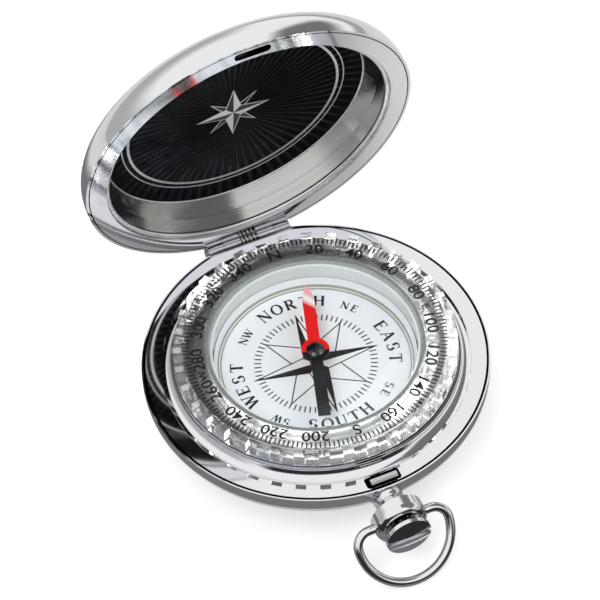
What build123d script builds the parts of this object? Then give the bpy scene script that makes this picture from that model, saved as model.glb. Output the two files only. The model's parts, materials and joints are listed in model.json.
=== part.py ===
# Pocket compass with a hinged lid, a turning clear ring, a swinging bow and a push crown.
# Millimetres, +Z up. The origin is the centre of the flat back, +Y points to the hinge, -Y to the pendant.
# The lid stands open, as it is used. Heights in the lid are given as they are with the lid closed.
from build123d import *
import os
from math import atan2, cos, degrees, pi, radians, sin, sqrt

# Clearances shared by the whole compass
overrun = 2.0                 # how far a cut runs past the face it opens
seat_clear = 0.03             # radial room between two fixed round pieces
running_clear = 0.05          # radial room of a pin or stem in its bore
swing_clear = 0.15            # room round the hinge barrel
joint_line = 0.15             # width of the dark line between a rim and its shell
joint_line_depth = 0.25

# Case bowl
case_radius = 32.7
case_depth = 9.0              # flat back to the top of the rim
case_wall = 1.7
side_height = 1.5             # straight side under the rim
corner_radius = 5.0
corner_angle = 45.0           # degrees of the corner before the flatter curve of the back

# Flat ring on the case
rim_width = 3.65              # edge of the case to the inside of the ring
rim_thickness = 0.8
rim_lip = 0.27                # width of the shell's edge outside the dark line
rim_edge = 0.12               # softened edges of the ring

# Polished collar that carries the capsule and the turning ring
well_flange_thickness = 0.7
well_flange_inset = 1.1       # from the edge of the case
groove_width = 0.85           # between the rim and the cove
cove_foot_height = 0.25       # straight foot of the cove above the groove
cove_run = 1.45               # width of the cove
collar_rise = 2.5             # collar top above the rim of the case
cove_sag = 0.55               # hollow of the cove
collar_wall = 1.0
collar_lip = 2.6              # width of the lip under the capsule
collar_lip_thickness = 0.8

# Clear capsule, dial and crystal
capsule_inset = 4.5           # from the turning ring's outside
capsule_wall = 1.3
capsule_floor = 1.35
capsule_clear = 0.2           # capsule in the collar
dial_thickness = 0.8
dial_drop = 1.45              # dial face below the rim of the case
dial_clear = 0.1
dial_wall_width = 1.35        # white ring round the edge of the dial
dial_wall_height = 2.1
dial_wall_ledge = 0.6         # flat step at its foot
dial_wall_step = 0.2          # height of that step
dial_wall_edge = 0.15         # width of its top
crystal_thickness = 1.0
crystal_rise = 4.0            # underside of the crystal above the rim of the case
gasket_thickness = 0.3
gasket_width = 0.9
retainer_width = 0.35         # outside the crystal
retainer_lap = 0.6            # over the crystal's edge
retainer_thickness = 0.25
retainer_depth = 0.45         # down the side of the crystal

# Clear turning ring
bezel_bore_clear = 0.12       # round the capsule
bezel_inset = 0.15            # lugs inside the collar's edge
bezel_lug_depth = 1.6
bezel_thickness = 2.78
bezel_gap = 0.1               # above the collar
bezel_lug_count = 36
bezel_lug_width = 2.0
bezel_lug_drop = 0.38         # lug tops below the printed face
bezel_foot_thickness = 0.4
bezel_step_clear = 0.1        # under the retaining ring
bezel_step_side_clear = 0.12

# Needle and its pivot
needle_height = 2.35          # underside of the blade above the rim of the case
needle_room = 3.9             # needle tip to the capsule's wall
needle_half_width = 1.15
needle_tip_half_width = 0.45
needle_tip_length = 3.4
needle_thickness = 0.3
needle_angle = -17.2          # degrees from the hinge direction, clockwise seen from above
hub_radius = 2.65
hub_thickness = 0.2
bush_radius = 1.1
bush_bore = 0.8
bush_drop = 0.75              # below the blade
jewel_thickness = 0.55
jewel_cup_radius = 0.5
jewel_cup_depth = 0.32
cap_radius = 1.75
cap_height = 0.6
post_radius = 0.5
post_foot_radius = 1.2
post_foot_thickness = 0.35
post_stud = 0.8               # length in the floor of the capsule
post_taper = 1.9              # length of the cone at its tip
post_tip_radius = 0.06
pivot_play = 0.05

# Hinge
hinge_inset = 0.28            # hinge axis from the edge of the case
hinge_drop = 0.27             # hinge axis below the rim of the case
lid_open_angle = 80.9         # degrees from closed
barrel_radius = 1.1
pin_radius = 0.45
spring_zone = 1.8             # half length of the gap for the coil
case_knuckle_length = 3.1
knuckle_gap = 0.1
ear_side = 0.2                # end of the knuckles inside the ear's side
pin_proud = 0.1
ear_half_width = 8.6
ear_front = 1.52              # in front of the hinge axis
ear_back = 1.78               # behind the hinge axis
ear_drop = 2.3                # below the hinge axis
ear_edge = 0.5                # bevel under the ear
stop_gap = 0.15               # under the open lid
hinge_wire_radius = 0.18
hinge_coil_pitch = 0.79
hinge_coil_turns = 4
quarter_turns = 4             # arcs of the coils in one turn, in pairs

# Lid
lid_inset = 0.1               # from the edge of the case
lid_gap = 0.2                 # closed lid above the case rim
lid_side = 1.3                # straight side of the lid
lid_height = 11.8
lid_shoulder_radius = 7.0
lid_wall = 0.5
lid_rim_width = 4.0
lid_rim_thickness = 0.45
inner_wall_thickness = 0.5
inner_wall_lean = 2.5
inner_wall_height = 7.3       # rim plane to the edge of the liner
band_step = 0.12              # lower band stands in from the upper one
band_share = 0.5              # height of the line between the two bands
liner_thickness = 0.35
liner_slope = 3.1             # width of the sloped edge
liner_depth = 8.06            # rim plane to the flat of the liner
liner_seat = 0.4              # width of the liner's edge on the inner wall
ring_wide_inset = 1.86        # from the edge of the liner's flat
ring_wide_width = 0.5
ring_thin_inset = 0.6
ring_thin_width = 0.22
ring_height = 0.12
star_long_radius = 7.37
star_short_radius = 6.6
star_waist_radius = 1.75
star_thickness = 0.2
star_points = 8
notch_side_clear = 0.15       # gap in the lid's edge, beside the ear
notch_front = 1.37            # in front of the hinge axis
notch_height = 1.1

# Pendant, crown and latch, along -Y
pendant_drop = 3.6            # axis below the rim of the case
boss_radius = 2.8
boss_stand = 1.2              # beyond the edge of the case
boss_blend = 0.9
neck_radius = 1.95
neck_groove = 0.18
neck_groove_count = 3
neck_shank_radius = 1.45
neck_shank_length = 2.4
stem_radius = 0.85
neck_length = 1.9
block_length = 3.9
block_radius = 5.1
block_back_radius = 3.7
block_bevel = 0.45
block_drum = 1.9              # length of the straight drum
block_front_radius = 3.6
spring_bore_radius = 1.95
spring_bore_depth = 2.3
crown_wire_radius = 0.2
crown_coil_radius = 1.55
crown_coil_turns = 3
crown_travel = 0.6
crown_stop_gap = 0.2
button_radius = 4.4
button_edge = 0.7             # bevel at the back of the button
button_side = 0.8             # straight side of the button
button_dome = 0.45
button_slot_width = 0.9
button_slot_depth = 0.9
window_half_width = 3.4
window_margin = 0.15          # inside edge of the ring to the window
window_depth = 2.5
window_corner = 0.6
catch_half_width = 2.65
catch_thickness = 0.7
catch_window_clear = 0.5      # outer face of the hook's stem in the window
catch_nose = 0.45
catch_nose_thickness = 0.3
catch_clear = 0.1             # hook above the lid's rim, and beside its slot
catch_bridge_thickness = 0.8
catch_bridge_gap = 0.2        # under the collar's flange
catch_step = 1.4              # foot behind the outer face of the stem
catch_foot_half_width = 1.6
catch_pocket_clear = 0.2
catch_foot_drop = 0.2         # foot below the stem's axis
slot_half_width = 3.5
slot_margin = 0.7             # inside edge of the lid's ring to the slot
slot_corner = 0.8

# Bow
bow_set = 1.9                 # swing axis from the back of the block
bow_wire_radius = 0.875
bow_half_width = 9.0
bow_corner = 2.9
bow_end = 2.8                 # inner ends of the wire from the middle
bow_hang = 50.0               # degrees below straight out

# Distances from the axis that follow from the sizes above
well_flange_radius = case_radius - well_flange_inset
rim_inner_radius = case_radius - rim_width
cove_foot_radius = rim_inner_radius - groove_width
collar_radius = cove_foot_radius - cove_run
bezel_lug_radius = collar_radius - bezel_inset
bezel_radius = bezel_lug_radius - bezel_lug_depth
capsule_radius = bezel_radius - capsule_inset
bezel_inner_radius = capsule_radius + bezel_bore_clear
capsule_inner_radius = capsule_radius - capsule_wall
collar_bore = capsule_radius + capsule_clear
dial_radius = capsule_inner_radius - dial_clear
retainer_radius = capsule_radius + retainer_width
needle_reach = capsule_inner_radius - needle_room
hinge_y = case_radius - hinge_inset
case_knuckle_end = ear_half_width - ear_side
lid_knuckle_end = case_knuckle_end - case_knuckle_length - knuckle_gap
notch_half_width = ear_half_width + notch_side_clear
lid_radius = case_radius - lid_inset
lid_rim_inner_radius = lid_radius - lid_rim_width
inner_wall_top_radius = lid_rim_inner_radius - inner_wall_lean
liner_flat_radius = inner_wall_top_radius - liner_slope
ring_wide_radius = liner_flat_radius - ring_wide_inset
ring_thin_radius = liner_flat_radius - ring_thin_inset
boss_reach = case_radius + boss_stand
block_start = boss_reach + neck_length
block_end = block_start + block_length
button_start = block_end + crown_travel + crown_stop_gap
bow_reach = block_start + bow_set
window_near = rim_inner_radius + window_margin
window_far = window_near + window_depth
catch_reach = window_far - catch_window_clear
catch_foot_reach = catch_reach - catch_step
slot_near = lid_rim_inner_radius + slot_margin

# Heights that follow from the sizes above
rim_low = case_depth - rim_thickness
flange_low = rim_low - well_flange_thickness
collar_top = case_depth + collar_rise
bezel_low = collar_top + bezel_gap
dial_top = case_depth - dial_drop
dial_low = dial_top - dial_thickness
capsule_low = dial_low - capsule_floor
crystal_low = case_depth + crystal_rise
crystal_top = crystal_low + crystal_thickness
gasket_low = crystal_low - gasket_thickness
retainer_low = crystal_top - retainer_depth
blade_low = case_depth + needle_height
blade_top = blade_low + needle_thickness
hub_top = blade_top + hub_thickness
jewel_low = hub_top - jewel_thickness
post_tip = jewel_low + jewel_cup_depth - pivot_play
hinge_height = case_depth - hinge_drop
lid_low = case_depth + lid_gap
lid_top = lid_low + lid_height
lid_rim_top = lid_low + lid_rim_thickness
liner_edge_low = lid_low + inner_wall_height
liner_low = lid_low + liner_depth
pendant_height = case_depth - pendant_drop
bridge_top = flange_low - catch_bridge_gap
bridge_low = bridge_top - catch_bridge_thickness
hook_low = lid_rim_top + catch_clear

# Curves of the bowl: a corner arc, then an arc that runs out flat in the back
corner_r = case_radius - corner_radius
corner_z = case_depth - side_height
back_radius = (corner_z - corner_radius * sin(radians(corner_angle))) / (1 - sin(radians(corner_angle)))
back_flat_radius = corner_r - (back_radius - corner_radius) * cos(radians(corner_angle))

# Curves of the lid: a shoulder arc, then a wide arc over the top
shoulder_r = lid_radius - lid_shoulder_radius
shoulder_z = lid_low + lid_side
dome_rise = lid_top - shoulder_z
crown_drop = dome_rise - lid_shoulder_radius
crown_radius = (shoulder_r**2 + dome_rise**2 - lid_shoulder_radius**2) / (2 * crown_drop)
crown_z = lid_top - crown_radius
dome_angle = degrees(atan2(shoulder_z - crown_z, shoulder_r))

# Directions of the open lid: across, out to the hinge side, and up from its rim
across = Vector(1, 0, 0)
lid_out = Vector(0, cos(radians(lid_open_angle)), -sin(radians(lid_open_angle)))
lid_up = Vector(0, sin(radians(lid_open_angle)), cos(radians(lid_open_angle)))
lid_foot = Vector(0, hinge_y, hinge_height) - lid_out * hinge_y - lid_up * hinge_height
lid_section = Plane(origin=lid_foot, x_dir=across, z_dir=-lid_out)
lid_axis = Axis(lid_foot, lid_up)
pendant_axis = Axis((0, 0, pendant_height), (0, -1, 0))
pendant_section = Plane(origin=(0, 0, pendant_height), x_dir=(0, -1, 0), z_dir=(-1, 0, 0))
bow_down = Vector(0, -cos(radians(bow_hang)), -sin(radians(bow_hang)))
bow_plane = Plane(origin=(0, -bow_reach, pendant_height), x_dir=across, z_dir=across.cross(bow_down))


def level(height):
    """Plane parallel to the back, at a height above it."""
    return Plane.XY.offset(height)


def lid_level(height):
    """Plane parallel to the lid's rim, at the height it has when the lid is closed."""
    return Plane(origin=lid_foot + lid_up * height, x_dir=across, z_dir=lid_up)


def hinge_plane(side):
    """Plane square to the hinge pin, with its origin on the hinge axis."""
    return Plane(origin=(side, hinge_y, hinge_height), x_dir=(0, 1, 0), z_dir=across)


def lid_side_plane(side):
    """Plane square to the hinge pin that is turned with the lid."""
    return Plane(origin=(side, hinge_y, hinge_height), x_dir=lid_out, z_dir=across)


def pendant_plane(reach):
    """Plane square to the pendant, at a distance from the axis of the case."""
    return Plane(origin=(0, -reach, pendant_height), x_dir=across, z_dir=(0, -1, 0))


def catch_plane(half_width):
    """Plane along the pendant that shows the latch from the side, at one side of it."""
    return Plane(origin=(half_width, 0, 0), x_dir=(0, -1, 0), z_dir=(-1, 0, 0))


def ring_outline(inner, outer, low, high):
    """Corners of a rectangular ring section."""
    return [(inner, low), (outer, low), (outer, high), (inner, high)]


def turned(section, axis, points, mode=Mode.ADD):
    """Turn a closed outline of straight lines about an axis."""
    with BuildSketch(section) as profile:
        with BuildLine():
            Polyline(*points, close=True)
        make_face()
    revolve(profile.sketch, axis=axis, mode=mode)


def turned_bowl(inset, top, mode=Mode.ADD):
    """Turn the section of the bowl, set in from its outer face, up to a height."""
    with BuildSketch(Plane.XZ) as profile:
        with BuildLine():
            Line((0, inset), (back_flat_radius, inset))
            CenterArc((back_flat_radius, back_radius), back_radius - inset, -90, 90 - corner_angle)
            CenterArc((corner_r, corner_z), corner_radius - inset, -corner_angle, corner_angle)
            Line((case_radius - inset, corner_z), (case_radius - inset, top))
            Line((case_radius - inset, top), (0, top))
            Line((0, top), (0, inset))
        make_face()
    revolve(profile.sketch, axis=Axis.Z, mode=mode)


def turned_dome(inset, low, mode=Mode.ADD):
    """Turn the section of the lid, set in from its outer face, down to a height."""
    with BuildSketch(lid_section) as profile:
        with BuildLine():
            Line((lid_radius - inset, low), (lid_radius - inset, shoulder_z))
            CenterArc((shoulder_r, shoulder_z), lid_shoulder_radius - inset, 0, dome_angle)
            CenterArc((0, crown_z), crown_radius - inset, dome_angle, 90 - dome_angle)
            Line((0, lid_top - inset), (0, low))
            Line((0, low), (lid_radius - inset, low))
        make_face()
    revolve(profile.sketch, axis=lid_axis, mode=mode)


def block(plane, x_low, x_high, y_low, y_high, length, mode=Mode.ADD):
    """A box that starts on a plane and runs along its normal."""
    with BuildSketch(plane) as profile:
        with BuildLine():
            Polyline((x_low, y_low), (x_high, y_low), (x_high, y_high), (x_low, y_high), close=True)
        make_face()
    extrude(profile.sketch, amount=length, mode=mode)


def rod(plane, radius, length, mode=Mode.ADD):
    """A round bar that starts on a plane and runs along its normal."""
    with BuildSketch(plane) as profile:
        Circle(radius)
    extrude(profile.sketch, amount=length, mode=mode)


def cut_round_hole(plane, half_width, near, far, corner, length):
    """Cut a hole with rounded corners on the pendant side, between two distances from the axis."""
    with BuildSketch(plane) as profile:
        with Locations((0, -(near + far) / 2)):
            RectangleRounded(2 * half_width, far - near, corner)
    extrude(profile.sketch, amount=length, mode=Mode.SUBTRACT)


def cut_ear_pocket():
    """Open the seat of the hinge ear in a piece of the case."""
    block(hinge_plane(-ear_half_width), -ear_front, ear_back + overrun, -ear_drop,
          hinge_drop + overrun, 2 * ear_half_width, mode=Mode.SUBTRACT)


def cut_lid_notch():
    """Open the gap for the hinge barrel in a piece of the lid."""
    low = lid_low - hinge_height
    block(lid_side_plane(-notch_half_width), -notch_front, overrun, low - overrun,
          low + notch_height, 2 * notch_half_width, mode=Mode.SUBTRACT)


def coil_place(frame, radius, pitch, turn):
    """Point and heading of a helix about the normal of a plane, after a number of turns."""
    angle = 2 * pi * turn
    spoke = frame.x_dir * cos(angle) + frame.y_dir * sin(angle)
    round_way = frame.y_dir * cos(angle) - frame.x_dir * sin(angle)
    point = frame.origin + spoke * radius + frame.z_dir * (pitch * turn)
    heading = round_way + frame.z_dir * (pitch / (2 * pi * radius))
    return point, heading.normalized()


def biarc(start, heading, end, final):
    """Two arcs that leave one point along its heading and reach the next along its own."""
    chord = end - start
    spread = 2 * (1 - heading.dot(final))
    along = chord.dot(heading + final)
    reach = (sqrt(along**2 + spread * chord.dot(chord)) - along) / spread
    near = start + heading * reach
    far = end - final * reach
    middle = (near + far) / 2
    TangentArc(start, middle, tangent=heading)
    TangentArc(middle, end, tangent=far - near)


def coil(frame, radius, pitch, turns, wire):
    """Sweep a wire along a helix of quarter turns."""
    with BuildLine() as path:
        for quarter in range(turns * quarter_turns):
            start, heading = coil_place(frame, radius, pitch, quarter / quarter_turns)
            end, final = coil_place(frame, radius, pitch, (quarter + 1) / quarter_turns)
            biarc(start, heading, end, final)
    start, heading = coil_place(frame, radius, pitch, 0)
    with BuildSketch(Plane(origin=start, z_dir=heading)) as section:
        Circle(wire)
    sweep(section.sketch, path=path.line)


def coil_gap(frame, radius, pitch, turns, wire):
    """Least gap between points of a coil that are half a turn or more apart."""
    samples = 24
    points = [coil_place(frame, radius, pitch, step / samples)[0] for step in range(turns * samples + 1)]
    gaps = [(points[b] - points[a]).length - 2 * wire
            for a in range(len(points)) for b in range(a + samples // 2, len(points))]
    return min(gaps)


os.makedirs("parts", exist_ok=True)

# Case: the bowl with the boss of the pendant
with BuildPart() as case_shell:
    turned_bowl(0, case_depth)
    rod(pendant_plane(boss_reach), boss_radius, corner_r - boss_reach)
    boss_foot = case_shell.edges().filter_by(lambda edge: edge.center().Y < -corner_r)
    boss_foot = boss_foot.filter_by(GeomType.CIRCLE, reverse=True).filter_by(GeomType.LINE, reverse=True)
    fillet(boss_foot, radius=boss_blend)
    turned_bowl(case_wall, rim_low, mode=Mode.SUBTRACT)
    turned(Plane.XZ, Axis.Z, ring_outline(0, well_flange_radius + seat_clear, flange_low, rim_low),
           mode=Mode.SUBTRACT)
    turned(Plane.XZ, Axis.Z, ring_outline(0, case_radius - rim_lip, rim_low, case_depth + overrun),
           mode=Mode.SUBTRACT)
    cut_ear_pocket()
    rod(pendant_plane(boss_reach), neck_shank_radius + seat_clear, corner_r - boss_reach, mode=Mode.SUBTRACT)
    block(level(bridge_low - catch_pocket_clear), -catch_half_width - catch_pocket_clear,
          catch_half_width + catch_pocket_clear, -catch_reach - catch_pocket_clear, 0,
          flange_low - bridge_low + overrun, mode=Mode.SUBTRACT)
case_shell.part.label = "case_shell"
export_step(case_shell.part, "parts/case_shell.step")

# Flat ring on the case, with the window of the latch
with BuildPart() as case_rim:
    seat_radius = case_radius - rim_lip - seat_clear
    line_radius = case_radius - rim_lip - joint_line
    line_low = case_depth - joint_line_depth
    turned(Plane.XZ, Axis.Z, [(rim_inner_radius, rim_low), (seat_radius, rim_low), (seat_radius, line_low),
           (line_radius, line_low), (line_radius, case_depth - rim_edge), (line_radius - rim_edge, case_depth),
           (rim_inner_radius + rim_edge, case_depth), (rim_inner_radius, case_depth - rim_edge)])
    cut_ear_pocket()
    cut_round_hole(level(rim_low - overrun), window_half_width, window_near, window_far, window_corner,
                   rim_thickness + 2 * overrun)
case_rim.part.label = "case_rim"
export_step(case_rim.part, "parts/case_rim.step")

# Polished collar: flange under the rim, hollow cove, flat top and a tube with a lip for the capsule
with BuildPart() as well_ring:
    tube_radius = collar_bore + collar_wall
    top_low = collar_top - collar_wall
    cove_inner_radius = collar_radius - collar_wall
    foot_inner_radius = cove_foot_radius - collar_wall
    cove_low = rim_low + cove_foot_height
    cove_middle_r = (cove_foot_radius + collar_radius) / 2 - cove_sag
    cove_middle_z = (cove_low + collar_top) / 2 - cove_sag
    with BuildSketch(Plane.XZ) as collar_profile:
        with BuildLine():
            Polyline((well_flange_radius, flange_low), (well_flange_radius, rim_low),
                     (cove_foot_radius, rim_low), (cove_foot_radius, cove_low))
            ThreePointArc((cove_foot_radius, cove_low), (cove_middle_r, cove_middle_z),
                          (collar_radius, collar_top))
            Polyline((collar_radius, collar_top), (collar_bore, collar_top),
                     (collar_bore, capsule_low), (tube_radius - collar_lip, capsule_low),
                     (tube_radius - collar_lip, capsule_low - collar_lip_thickness),
                     (tube_radius, capsule_low - collar_lip_thickness), (tube_radius, top_low),
                     (cove_inner_radius - cove_sag, top_low), (foot_inner_radius - cove_sag, flange_low),
                     (well_flange_radius, flange_low))
        make_face()
    revolve(collar_profile.sketch, axis=Axis.Z)
    cut_ear_pocket()
    block(level(flange_low - overrun), -window_half_width, window_half_width, -well_flange_radius - overrun,
          -cove_foot_radius - swing_clear, well_flange_thickness + 2 * overrun, mode=Mode.SUBTRACT)
well_ring.part.label = "well_ring"
export_step(well_ring.part, "parts/well_ring.step")

# Clear cup of the capsule, with the seat of the pivot post in its floor
with BuildPart() as capsule_body:
    turned(Plane.XZ, Axis.Z, ring_outline(0, capsule_radius, capsule_low, gasket_low))
    rod(level(dial_low), capsule_inner_radius, gasket_low - dial_low + overrun, mode=Mode.SUBTRACT)
    rod(level(dial_low - post_stud), post_radius + seat_clear, post_stud, mode=Mode.SUBTRACT)
capsule_body.part.label = "capsule_body"
export_step(capsule_body.part, "parts/capsule_body.step")

with BuildPart() as dial_plate:
    rod(level(dial_low), dial_radius, dial_thickness)
    rod(level(dial_low), post_radius + seat_clear, dial_thickness, mode=Mode.SUBTRACT)
dial_plate.part.label = "dial_plate"
export_step(dial_plate.part, "parts/dial_plate.step")

# White ring on the dial, stepped at its foot and leaning out to the capsule's wall
with BuildPart() as dial_wall:
    wall_foot = dial_radius - dial_wall_width
    wall_step = dial_top + dial_wall_step
    wall_top = dial_top + dial_wall_height
    turned(Plane.XZ, Axis.Z, [(wall_foot, dial_top), (dial_radius, dial_top), (dial_radius, wall_top),
           (dial_radius - dial_wall_edge, wall_top), (wall_foot + dial_wall_ledge, wall_step),
           (wall_foot, wall_step)])
dial_wall.part.label = "dial_wall"
export_step(dial_wall.part, "parts/dial_wall.step")

with BuildPart() as crystal_gasket:
    turned(Plane.XZ, Axis.Z, ring_outline(capsule_radius - gasket_width, capsule_radius,
           gasket_low, crystal_low))
crystal_gasket.part.label = "crystal_gasket"
export_step(crystal_gasket.part, "parts/crystal_gasket.step")

with BuildPart() as crystal:
    rod(level(crystal_low), capsule_radius, crystal_thickness)
crystal.part.label = "crystal"
export_step(crystal.part, "parts/crystal.step")

with BuildPart() as bezel_retainer:
    retainer_bore = capsule_radius + seat_clear
    retainer_top = crystal_top + retainer_thickness
    turned(Plane.XZ, Axis.Z, [(retainer_bore, retainer_low), (retainer_radius, retainer_low),
           (retainer_radius, retainer_top), (capsule_radius - retainer_lap, retainer_top),
           (capsule_radius - retainer_lap, crystal_top), (retainer_bore, crystal_top)])
bezel_retainer.part.label = "bezel_retainer"
export_step(bezel_retainer.part, "parts/bezel_retainer.step")

# Pivot post: a stud in the capsule floor, a foot on the dial and a pointed tip
with BuildPart() as pivot_post:
    post_foot_top = dial_top + post_foot_thickness
    turned(Plane.XZ, Axis.Z, [(0, dial_low - post_stud), (post_radius, dial_low - post_stud),
           (post_radius, dial_top), (post_foot_radius, dial_top), (post_foot_radius, post_foot_top),
           (post_radius, post_foot_top), (post_radius, post_tip - post_taper),
           (post_tip_radius, post_tip), (0, post_tip)])
pivot_post.part.label = "pivot_post"
export_step(pivot_post.part, "parts/pivot_post.step")

# Turning ring with grip lugs on a thin foot, stepped under the retaining ring
with BuildPart() as bezel_ring:
    rod(level(bezel_low), bezel_radius, bezel_thickness)
    rod(level(bezel_low), bezel_lug_radius, bezel_foot_thickness)
    with BuildSketch(level(bezel_low)) as lugs:
        with PolarLocations((bezel_radius + bezel_lug_radius) / 2 - bezel_lug_drop, bezel_lug_count):
            Rectangle(bezel_lug_radius - bezel_radius + 2 * bezel_lug_drop, bezel_lug_width)
    extrude(lugs.sketch, amount=bezel_thickness - bezel_lug_drop)
    rod(level(bezel_low), bezel_inner_radius, bezel_thickness, mode=Mode.SUBTRACT)
    rod(level(retainer_low - bezel_step_clear), retainer_radius + bezel_step_side_clear, bezel_thickness,
        mode=Mode.SUBTRACT)
bezel_ring.part.label = "bezel_ring"
export_step(bezel_ring.part, "parts/bezel_ring.step")

# Needle: a blade with a blunt tail and a narrowed tip, a hub through it, a jewel in the hub and a cap on top
needle_plane = level(blade_low).rotated((0, 0, needle_angle))
with BuildPart() as needle_blade:
    tip_start = needle_reach - needle_tip_length
    with BuildSketch(needle_plane) as blade_outline:
        with BuildLine():
            Polyline((-needle_half_width, -needle_reach), (needle_half_width, -needle_reach),
                     (needle_half_width, tip_start), (needle_tip_half_width, needle_reach),
                     (-needle_tip_half_width, needle_reach), (-needle_half_width, tip_start), close=True)
        make_face()
    extrude(blade_outline.sketch, amount=needle_thickness)
    rod(level(blade_low), bush_radius + seat_clear, needle_thickness, mode=Mode.SUBTRACT)
needle_blade.part.label = "needle_blade"
export_step(needle_blade.part, "parts/needle_blade.step")

with BuildPart() as needle_hub:
    turned(Plane.XZ, Axis.Z, [(bush_bore, blade_low - bush_drop), (bush_radius, blade_low - bush_drop),
           (bush_radius, blade_top), (hub_radius, blade_top), (hub_radius, hub_top), (bush_bore, hub_top)])
needle_hub.part.label = "needle_hub"
export_step(needle_hub.part, "parts/needle_hub.step")

with BuildPart() as pivot_jewel:
    turned(Plane.XZ, Axis.Z, [(jewel_cup_radius, jewel_low), (bush_bore - seat_clear, jewel_low),
           (bush_bore - seat_clear, hub_top), (0, hub_top), (0, jewel_low + jewel_cup_depth)])
pivot_jewel.part.label = "pivot_jewel"
export_step(pivot_jewel.part, "parts/pivot_jewel.step")

with BuildPart() as pivot_cap:
    cap_curve = (cap_radius**2 + cap_height**2) / (2 * cap_height)
    cap_angle = degrees(atan2(cap_curve - cap_height, cap_radius))
    with BuildSketch(Plane.XZ) as cap_profile:
        with BuildLine():
            Line((0, hub_top), (cap_radius, hub_top))
            CenterArc((0, hub_top + cap_height - cap_curve), cap_curve, cap_angle, 90 - cap_angle)
            Line((0, hub_top + cap_height), (0, hub_top))
        make_face()
    revolve(cap_profile.sketch, axis=Axis.Z)
pivot_cap.part.label = "pivot_cap"
export_step(pivot_cap.part, "parts/pivot_cap.step")

# Hinge ear on the case: a block with two knuckles and a trough for the lid's knuckles and the coil
with BuildPart() as hinge_ear:
    lid_tail = (lid_radius - hinge_y) * sin(radians(lid_open_angle))
    stop_height = (lid_low - hinge_height) * cos(radians(lid_open_angle)) - lid_tail - stop_gap
    with BuildSketch(hinge_plane(-ear_half_width)) as ear_outline:
        with BuildLine():
            Polyline((-ear_front, -ear_drop), (ear_back - ear_edge, -ear_drop),
                     (ear_back, ear_edge - ear_drop), (ear_back, stop_height), (0, stop_height),
                     (0, hinge_drop), (-ear_front, hinge_drop), close=True)
        make_face()
    extrude(ear_outline.sketch, amount=2 * ear_half_width)
    trough_end = lid_knuckle_end + knuckle_gap
    rod(hinge_plane(-trough_end), barrel_radius + swing_clear, 2 * trough_end, mode=Mode.SUBTRACT)
    for knuckle_start in (trough_end, -case_knuckle_end):
        rod(hinge_plane(knuckle_start), barrel_radius, case_knuckle_end - trough_end)
    rod(hinge_plane(-ear_half_width), pin_radius + running_clear, 2 * ear_half_width, mode=Mode.SUBTRACT)
hinge_ear.part.label = "hinge_ear"
export_step(hinge_ear.part, "parts/hinge_ear.step")

with BuildPart() as hinge_pin:
    rod(hinge_plane(-case_knuckle_end - pin_proud), pin_radius, 2 * (case_knuckle_end + pin_proud))
hinge_pin.part.label = "hinge_pin"
export_step(hinge_pin.part, "parts/hinge_pin.step")

# Torsion coil round the pin
hinge_coil_radius = barrel_radius - hinge_wire_radius
hinge_coil_frame = hinge_plane(-hinge_coil_pitch * hinge_coil_turns / 2)
with BuildPart() as hinge_spring:
    coil(hinge_coil_frame, hinge_coil_radius, hinge_coil_pitch, hinge_coil_turns, hinge_wire_radius)
hinge_spring.part.label = "hinge_spring"
export_step(hinge_spring.part, "parts/hinge_spring.step")

# Lid: dome, flat ring with the latch slot, brushed inner wall, liner and its trim, hinge leaf
with BuildPart() as lid_shell:
    turned_dome(0, lid_low)
    turned_dome(lid_wall, lid_low - overrun, mode=Mode.SUBTRACT)
    cut_lid_notch()
lid_shell.part.label = "lid_shell"
export_step(lid_shell.part, "parts/lid_shell.step")

with BuildPart() as lid_rim:
    lid_seat_radius = lid_radius - lid_wall - seat_clear
    lid_line_radius = lid_radius - lid_wall - joint_line
    turned(lid_section, lid_axis, [(lid_rim_inner_radius, lid_low), (lid_line_radius, lid_low),
           (lid_line_radius, lid_low + joint_line_depth), (lid_seat_radius, lid_low + joint_line_depth),
           (lid_seat_radius, lid_rim_top), (lid_rim_inner_radius, lid_rim_top)])
    cut_lid_notch()
    cut_round_hole(lid_level(lid_low - overrun), slot_half_width, slot_near, catch_reach + catch_clear,
                   slot_corner, lid_rim_thickness + 2 * overrun)
lid_rim.part.label = "lid_rim"
export_step(lid_rim.part, "parts/lid_rim.step")

with BuildPart() as lid_inner_wall:
    wall_lean = (lid_rim_inner_radius - inner_wall_top_radius) * band_share
    band_radius = lid_rim_inner_radius - wall_lean
    band_height = lid_rim_top + (liner_edge_low - lid_rim_top) * band_share
    turned(lid_section, lid_axis, [(lid_rim_inner_radius, lid_rim_top), (band_radius, band_height),
           (band_radius + band_step, band_height + band_step), (inner_wall_top_radius, liner_edge_low),
           (inner_wall_top_radius + inner_wall_thickness, liner_edge_low),
           (lid_rim_inner_radius + inner_wall_thickness, lid_rim_top)])
lid_inner_wall.part.label = "lid_inner_wall"
export_step(lid_inner_wall.part, "parts/lid_inner_wall.step")

with BuildPart() as lid_liner:
    turned(lid_section, lid_axis, [(0, liner_low), (liner_flat_radius, liner_low),
           (inner_wall_top_radius, liner_edge_low), (inner_wall_top_radius + liner_seat, liner_edge_low),
           (inner_wall_top_radius + liner_seat, liner_edge_low + liner_thickness),
           (inner_wall_top_radius, liner_edge_low + liner_thickness),
           (liner_flat_radius, liner_low + liner_thickness), (0, liner_low + liner_thickness)])
lid_liner.part.label = "lid_liner"
export_step(lid_liner.part, "parts/lid_liner.step")

with BuildPart() as liner_ring_wide:
    turned(lid_section, lid_axis, ring_outline(ring_wide_radius - ring_wide_width / 2,
           ring_wide_radius + ring_wide_width / 2, liner_low - ring_height, liner_low))
liner_ring_wide.part.label = "liner_ring_wide"
export_step(liner_ring_wide.part, "parts/liner_ring_wide.step")

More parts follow.
